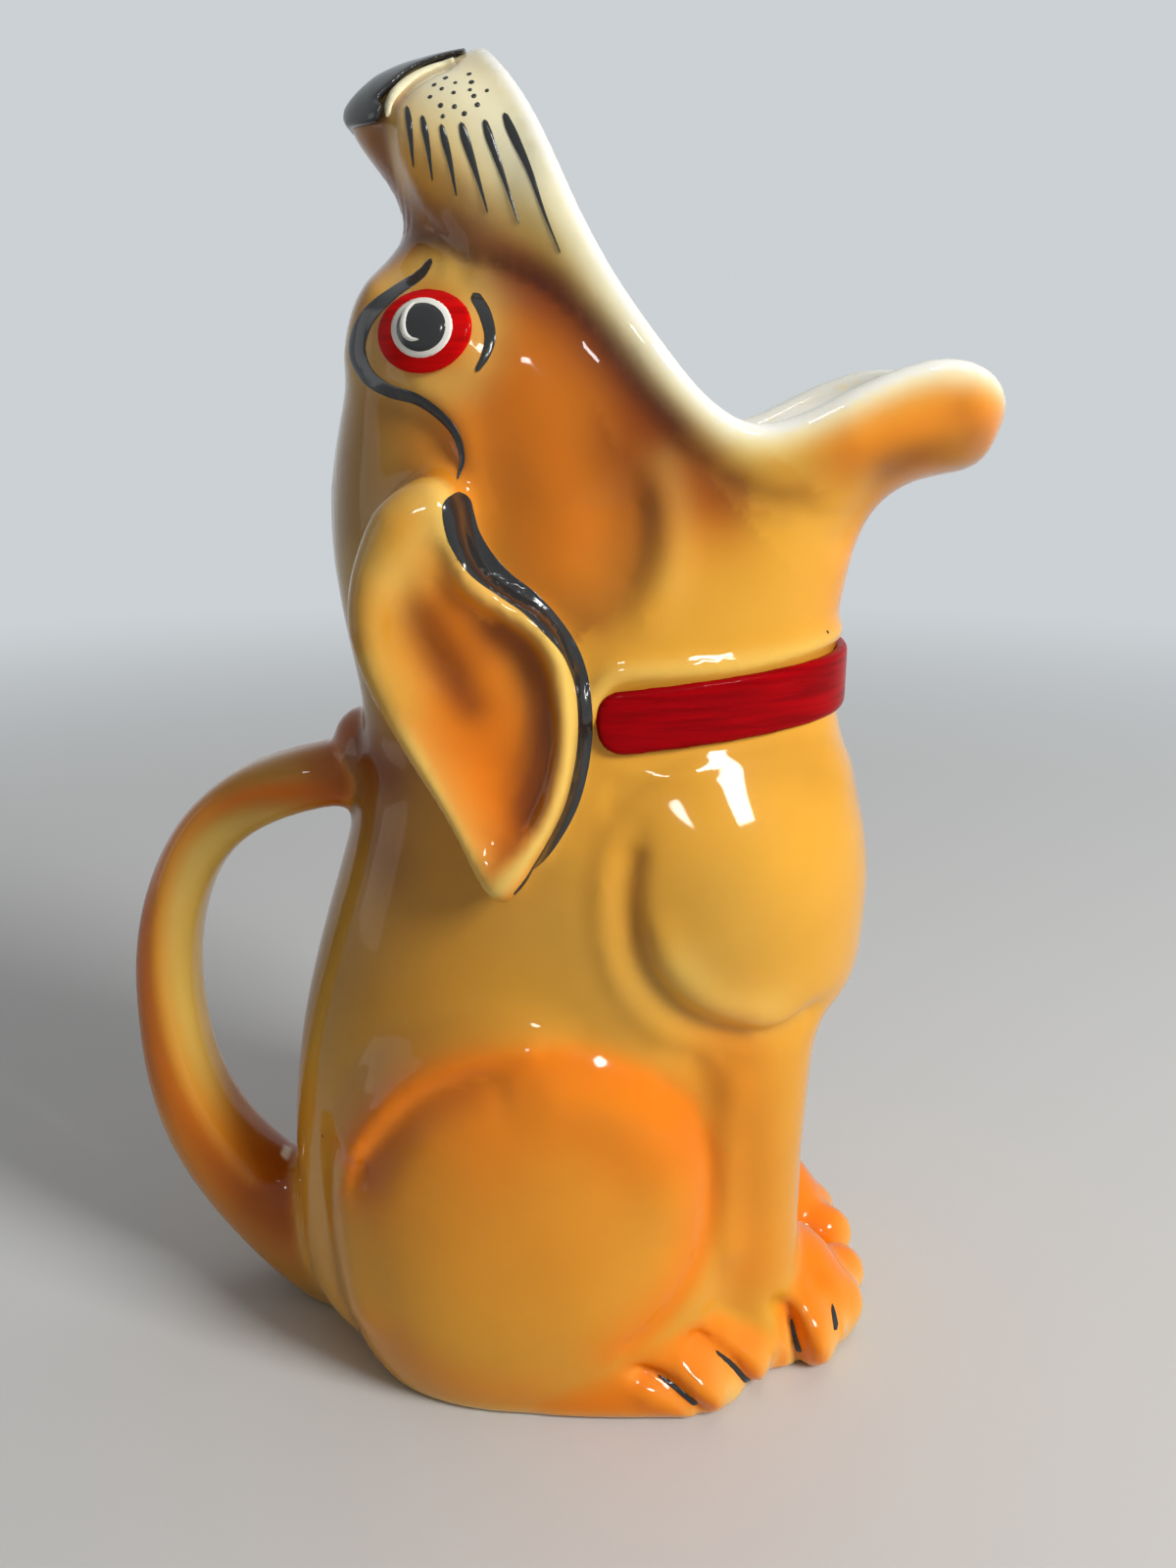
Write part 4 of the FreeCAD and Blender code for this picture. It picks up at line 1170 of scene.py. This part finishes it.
def build_casting():
    """The casting's mesh, with fewer faces inside the hollow, and its sprayed colours with painted light and
    shade.
    """
    grain = sizes().grain / MM * 1.0
    clay, near, crease_shade, outside = cast_clay(grain)
    points, faces = clay.skin()
    piece = add_mesh("glazed_casting", points, faces)
    points, normals = points_of(piece.data)
    hollow = hollow_share(clay, points, normals, outside)
    inner = piece.vertex_groups.new(name="inside")
    inner.add(np.flatnonzero(hollow > 0.5).tolist(), 1.0, "REPLACE")
    thin = piece.modifiers.new("thin", "DECIMATE")
    thin.ratio = 1 - (1 - sizes().inner_share) * float((hollow > 0.5).mean())
    thin.vertex_group = "inside"
    mesh = evaluated_mesh(piece, "glazed_casting")
    piece.modifiers.clear()
    piece.data = mesh
    piece.vertex_groups.clear()
    mesh.shade_smooth()
    points, normals = points_of(mesh)
    hollow = hollow_share(clay, points, normals, outside)
    set_colours(mesh, "glaze", sprayed_with_painted_light(clay, near, crease_shade, points, normals, hollow))
    return piece


class PITCHER_OT_casting(bpy.types.Operator):
    """Model the whole casting as one seamless glazed skin"""
    bl_idname = "pitcher.casting"
    bl_label = "Glazed casting"

    def execute(self, context):
        piece = build_casting()
        finish_piece(piece, glaze_material(), "body_glaze", *CAST_NODES)
        return {"FINISHED"}


# Spacing of the finer grids that the small nodes are rounded on, in mm, and how often they are evened out.
COLLAR_GRAIN = 0.7
FACE_GRAIN = 0.4
NODE_ROUNDING = 2


def rounded_node(node, grain):
    """A small node on a finer grid, with its edges rounded."""
    clay = Clay(grain, NODE_REACH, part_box(node))
    clay.values = evened(clay.node(node), NODE_ROUNDING)
    return clay


def add_skin(name, clay):
    """A new object in the scene from the surface on a grid."""
    points, faces = clay.skin(1)
    return add_mesh(name, points, faces)


class PITCHER_OT_collar(bpy.types.Operator):
    """Make the raised collar, painted crimson"""
    bl_idname = "pitcher.collar"
    bl_label = "Collar"

    def execute(self, context):
        piece = add_skin("collar_band", rounded_node("collar", COLLAR_GRAIN))
        finish_piece(piece, enamel("crimson", 0.35), "collar_enamel", "collar")
        return {"FINISHED"}


class PITCHER_OT_nose(bpy.types.Operator):
    """Make the black pad of the nose"""
    bl_idname = "pitcher.nose"
    bl_label = "Nose"

    def execute(self, context):
        clay = rounded_node("nose", FACE_GRAIN)
        taper = np.interp(clay.x, *zip(*NOSE_TAPER))[:, None, None]
        outline = outline_distance(clay.x[:, None], clay.z[None, :], NOSE_OUTLINE)[:, None, :]
        clay.values = soft_max(clay.values + taper - NOSE_SWELL, outline, NOSE_EDGE).astype(np.float32)
        piece = add_skin("nose_pad", clay)
        finish_piece(piece, black_enamel(), "black_enamel", "nose")
        return {"FINISHED"}


def painted_patch(name, skin, outline, thickness):
    """A closed thin patch of enamel on both eyes: rings of points from the middle of the outline, seen from
    the side, out to its edge, where it is thinnest, and the same again under the skin."""
    outline = np.asarray(outline, float)
    middle = outline.mean(axis=0)
    shares = (0.0, 0.35, 0.7, 0.92, 1.0)
    heights = (1.0, 1.0, 0.95, 0.7, 0.0)
    count = len(outline)
    points = []
    for share, height in list(zip(shares, heights))[1:] + [(s, -1.0) for s in shares[:0:-1]]:
        for x, z in middle + (outline - middle) * share:
            spot = side_hit(skin, x, z)
            points.append(spot + side_normal(skin, spot) * height * thickness)
    top = side_hit(skin, *middle)
    points += [top + side_normal(skin, top) * thickness, top - side_normal(skin, top) * thickness]
    rings = len(points) // count
    faces = []
    for ring in range(rings - 1):
        for i in range(count):
            j = (i + 1) % count
            faces.append((ring * count + i, ring * count + j, (ring + 1) * count + j, (ring + 1) * count + i))
    last = (rings - 1) * count
    for i in range(count):
        j = (i + 1) % count
        faces.append((rings * count, j, i))
        faces.append((last + i, last + j, rings * count + 1))
    points = np.array(points)
    whole = np.vstack((points, points * (1, -1, 1)))
    mirrored = [tuple(i + len(points) for i in reversed(face)) for face in faces]
    piece = add_mesh(name, whole, faces + mirrored)
    closed_outward(piece.data)
    return piece


def side_normal(skin, spot):
    """The direction that the skin faces at a place in mm."""
    _, _, normal, _ = skin.closest_point_on_mesh(Vector(spot * MM))
    return np.array(normal)


def oval(middle, length, height, turn, count=40):
    """An oval outline seen from the side, its front end turned up by turn degrees."""
    turn = math.radians(turn)
    out = []
    for k in range(count):
        angle = 2 * math.pi * k / count
        along, up = length / 2 * math.cos(angle), height / 2 * math.sin(angle)
        out.append((middle[0] + along * math.cos(turn) - up * math.sin(turn),
                    middle[1] + along * math.sin(turn) + up * math.cos(turn)))
    return out


class PITCHER_OT_eyes(bpy.types.Operator):
    """Make the eyes: red domes, and on each the white ring, the black iris and the white gleam"""
    bl_idname = "pitcher.eyes"
    bl_label = "Eyes"

    def execute(self, context):
        dome = add_skin("eye_domes", rounded_node("right_eye", FACE_GRAIN))
        finish_piece(dome, enamel("red", 0.3), "eye_enamel", "right_eye", "left_eye")
        white = enamel("white", 0.03)
        layer = sizes().enamel_thickness / MM
        for name, outline, layers, material in (
                ("eye_whites", oval(EYE_WHITE[:2], *EYE_WHITE[2:]), 1, white),
                ("eye_irises", oval(EYE_IRIS[:2], *EYE_IRIS[2:]), 2, black_enamel())):
            finish_piece(painted_patch(name, dome, outline, layers * layer), material, "eye_enamel")
        gleams = laid_lines("eye_gleams", dome, (GLEAM,), GLEAM_LAYERS * layer * MM, white)
        finish_piece(gleams, white, "eye_enamel")
        return {"FINISHED"}


class PITCHER_OT_enamel_lines(bpy.types.Operator):
    """Paint the black lines of the brows, eyes, ears, whiskers and toes, and the pale folds of the nose"""
    bl_idname = "pitcher.enamel_lines"
    bl_label = "Painted lines"

    def execute(self, context):
        skin = bpy.data.objects["glazed_casting"]
        thickness = sizes().enamel_thickness
        groups = {"brow_lines": (BROW, EYE_LINE), "ear_lines": (EAR_LINE,), "whiskers": WHISKERS,
                  "toe_lines": TOE_LINES}
        for name, lines in groups.items():
            piece = laid_lines(name, skin, lines, thickness, black_enamel())
            finish_piece(piece, black_enamel(), "black_enamel")
        pale = enamel("cream", 0.05)
        piece = laid_lines("nose_folds", skin, (NOSE_FOLD,), FOLD_LAYERS * thickness, pale)
        finish_piece(piece, pale, "body_glaze")
        return {"FINISHED"}


class PITCHER_OT_muzzle_dots(bpy.types.Operator):
    """Paint the dots of the muzzle"""
    bl_idname = "pitcher.muzzle_dots"
    bl_label = "Muzzle dots"

    def execute(self, context):
        skin = bpy.data.objects["glazed_casting"]
        spots = [side_hit(skin, x, z) * (1, side, 1) * MM for x, z in MUZZLE_DOTS for side in (1, -1)]
        source = bpy.data.meshes.new("dots")
        source.from_pydata([tuple(s) for s in spots], [], [])
        piece = grown("muzzle_dots", source, enamel_dot_tree(), {
            "Skin": skin, "Size": sizes().dot_size, "Thickness": sizes().enamel_thickness,
            "Material": black_enamel()})
        finish_piece(piece, black_enamel(), "black_enamel")
        return {"FINISHED"}


# The stage

# The background, where the camera sees it or the glaze mirrors it, and the light of the world.
BACKGROUND = (0.60, 0.635, 0.66, 1)
WORLD_LIGHT = (0.76, 0.76, 0.77, 1)
WORLD_STRENGTH = 0.21

# The floor: its colour, half its width, and where it starts and ends to fade into the background, in metres.
FLOOR_COLOUR = (0.62, 0.62, 0.61, 1)
FLOOR_HALF = 12.0
FLOOR_FADE = (0.25, 1.2)

# Lamps: name, place, width and height in metres, power in watts, and whether the glaze only mirrors it.
LAMPS = (
    ("window", (0.91, -0.64, 0.77), 0.40, 0.55, 17.0, False),
    ("ceiling", (0.1, 0.3, 1.3), 1.2, 1.2, 3.6, False),
    ("window_mirrored", (0.66, -0.80, 0.98), 0.27, 0.19, 9.0, True),
    ("pane_mirrored", (-0.02, -1.05, 0.80), 0.13, 0.12, 2.2, True),
    ("wall_mirrored", (-1.25, -0.10, 0.35), 0.50, 0.90, 1.1, True),
)
LAMP_TARGET = (0, 0, 0.13)

# The camera: its place in metres, how far it looks down in degrees, and its lens and film height in mm.
CAMERA_PLACE = (0, -0.258, 0.196)
CAMERA_DIP = 16.1
CAMERA_LENS = 29.25
FILM_HEIGHT = 36.0


def seen_share(tree):
    """1 for what the camera shows or a shiny surface mirrors, and 0 for what lights the pitcher."""
    path = place(tree, "ShaderNodeLightPath").outputs
    either = maths(tree, "MAXIMUM", path["Is Camera Ray"], path["Is Glossy Ray"])
    return maths(tree, "MAXIMUM", either, path["Is Transmission Ray"])


def softbox(name, spot, width, height, power, mirrored):
    """A rectangular lamp aimed at the pitcher, which either lights it or is only mirrored in its glaze."""
    lamp = bpy.data.lights.new(name, "AREA")
    lamp.shape = "RECTANGLE"
    lamp.size = width
    lamp.size_y = height
    lamp.energy = power
    item = bpy.data.objects.new(name, lamp)
    item.visible_diffuse = not mirrored
    item.visible_glossy = mirrored
    item.location = spot
    item.rotation_euler = (Vector(LAMP_TARGET) - Vector(spot)).to_track_quat("-Z", "Y").to_euler()
    bpy.context.scene.collection.objects.link(item)


class PITCHER_OT_stage(bpy.types.Operator):
    """Set up the pale floor, the soft light and the camera"""
    bl_idname = "pitcher.stage"
    bl_label = "Stage"

    def execute(self, context):
        material, tree, shader = new_material("pale_floor", Base_Color=FLOOR_COLOUR, Roughness=0.55)
        spot = place(tree, "ShaderNodeTexCoord").outputs["Object"]
        far = place(tree, "ShaderNodeVectorMath", {0: spot}, operation="LENGTH")
        fade = place(tree, "ShaderNodeMapRange", {
            "Value": far.outputs["Value"], "From Min": FLOOR_FADE[0], "From Max": FLOOR_FADE[1]},
            interpolation_type="SMOOTHSTEP")
        share = maths(tree, "MULTIPLY", fade.outputs[0], seen_share(tree))
        pale = place(tree, "ShaderNodeEmission", {"Color": BACKGROUND})
        mixed = place(tree, "ShaderNodeMixShader", {0: share, 1: shader.outputs[0], 2: pale.outputs[0]})
        tree.links.new(mixed.outputs[0], tree.nodes["Material Output"].inputs[0])
        half = FLOOR_HALF / MM
        corners = ((-half, -half, 0), (half, -half, 0), (half, half, 0), (-half, half, 0))
        floor = add_mesh("floor", corners, [(0, 1, 2, 3)])
        floor.data.materials.append(material)

        world = bpy.data.worlds.new("studio")
        context.scene.world = world
        world.use_nodes = True
        tree = world.node_tree
        light = tree.nodes["Background"]
        light.inputs["Color"].default_value = WORLD_LIGHT
        light.inputs["Strength"].default_value = WORLD_STRENGTH
        pale = place(tree, "ShaderNodeBackground", {"Color": BACKGROUND, "Strength": 1.0})
        mixed = place(tree, "ShaderNodeMixShader", {0: seen_share(tree), 1: light.outputs[0],
                                                    2: pale.outputs[0]})
        tree.links.new(mixed.outputs[0], tree.nodes["World Output"].inputs[0])

        for lamp in LAMPS:
            softbox(*lamp)

        camera = bpy.data.cameras.new("camera")
        camera.sensor_fit = "VERTICAL"
        camera.sensor_height = FILM_HEIGHT
        camera.lens = CAMERA_LENS
        camera.clip_start = 0.01
        view = bpy.data.objects.new("camera", camera)
        view.location = CAMERA_PLACE
        view.rotation_euler = (math.radians(90 - CAMERA_DIP), 0, 0)
        context.scene.collection.objects.link(view)
        context.scene.camera = view
        context.scene.view_settings.view_transform = "Standard"
        return {"FINISHED"}


STEPS = (PITCHER_OT_stage, PITCHER_OT_casting, PITCHER_OT_collar, PITCHER_OT_nose, PITCHER_OT_eyes,
         PITCHER_OT_enamel_lines, PITCHER_OT_muzzle_dots)


class PITCHER_PT_panel(bpy.types.Panel):
    """Everything that the pitcher is made of"""
    bl_label = "Dog Pitcher"
    bl_idname = "PITCHER_PT_panel"
    bl_space_type = "VIEW_3D"
    bl_region_type = "UI"
    bl_category = "Dog Pitcher"

    def draw(self, context):
        for group in (context.scene.pitcher_sizes, context.scene.pitcher_colours):
            column = self.layout.column(align=True)
            for key in group.__annotations__:
                column.prop(group, key)
        for step in STEPS:
            self.layout.operator(step.bl_idname)


CLASSES = (PitcherSizes, PitcherColours) + STEPS + (PITCHER_PT_panel,)


def register():
    """Adds the classes, and the sizes and colours to the scene."""
    for item in CLASSES:
        bpy.utils.register_class(item)
    bpy.types.Scene.pitcher_sizes = bpy.props.PointerProperty(type=PitcherSizes)
    bpy.types.Scene.pitcher_colours = bpy.props.PointerProperty(type=PitcherColours)


def unregister():
    """Takes away what register added."""
    del bpy.types.Scene.pitcher_sizes
    del bpy.types.Scene.pitcher_colours
    for item in reversed(CLASSES):
        bpy.utils.unregister_class(item)


def main():
    """Builds the whole pitcher on its stage."""
    register()
    bpy.ops.pitcher.stage()
    bpy.ops.pitcher.casting()
    bpy.ops.pitcher.collar()
    bpy.ops.pitcher.nose()
    bpy.ops.pitcher.eyes()
    bpy.ops.pitcher.enamel_lines()
    bpy.ops.pitcher.muzzle_dots()


if __name__ == "__main__":
    main()
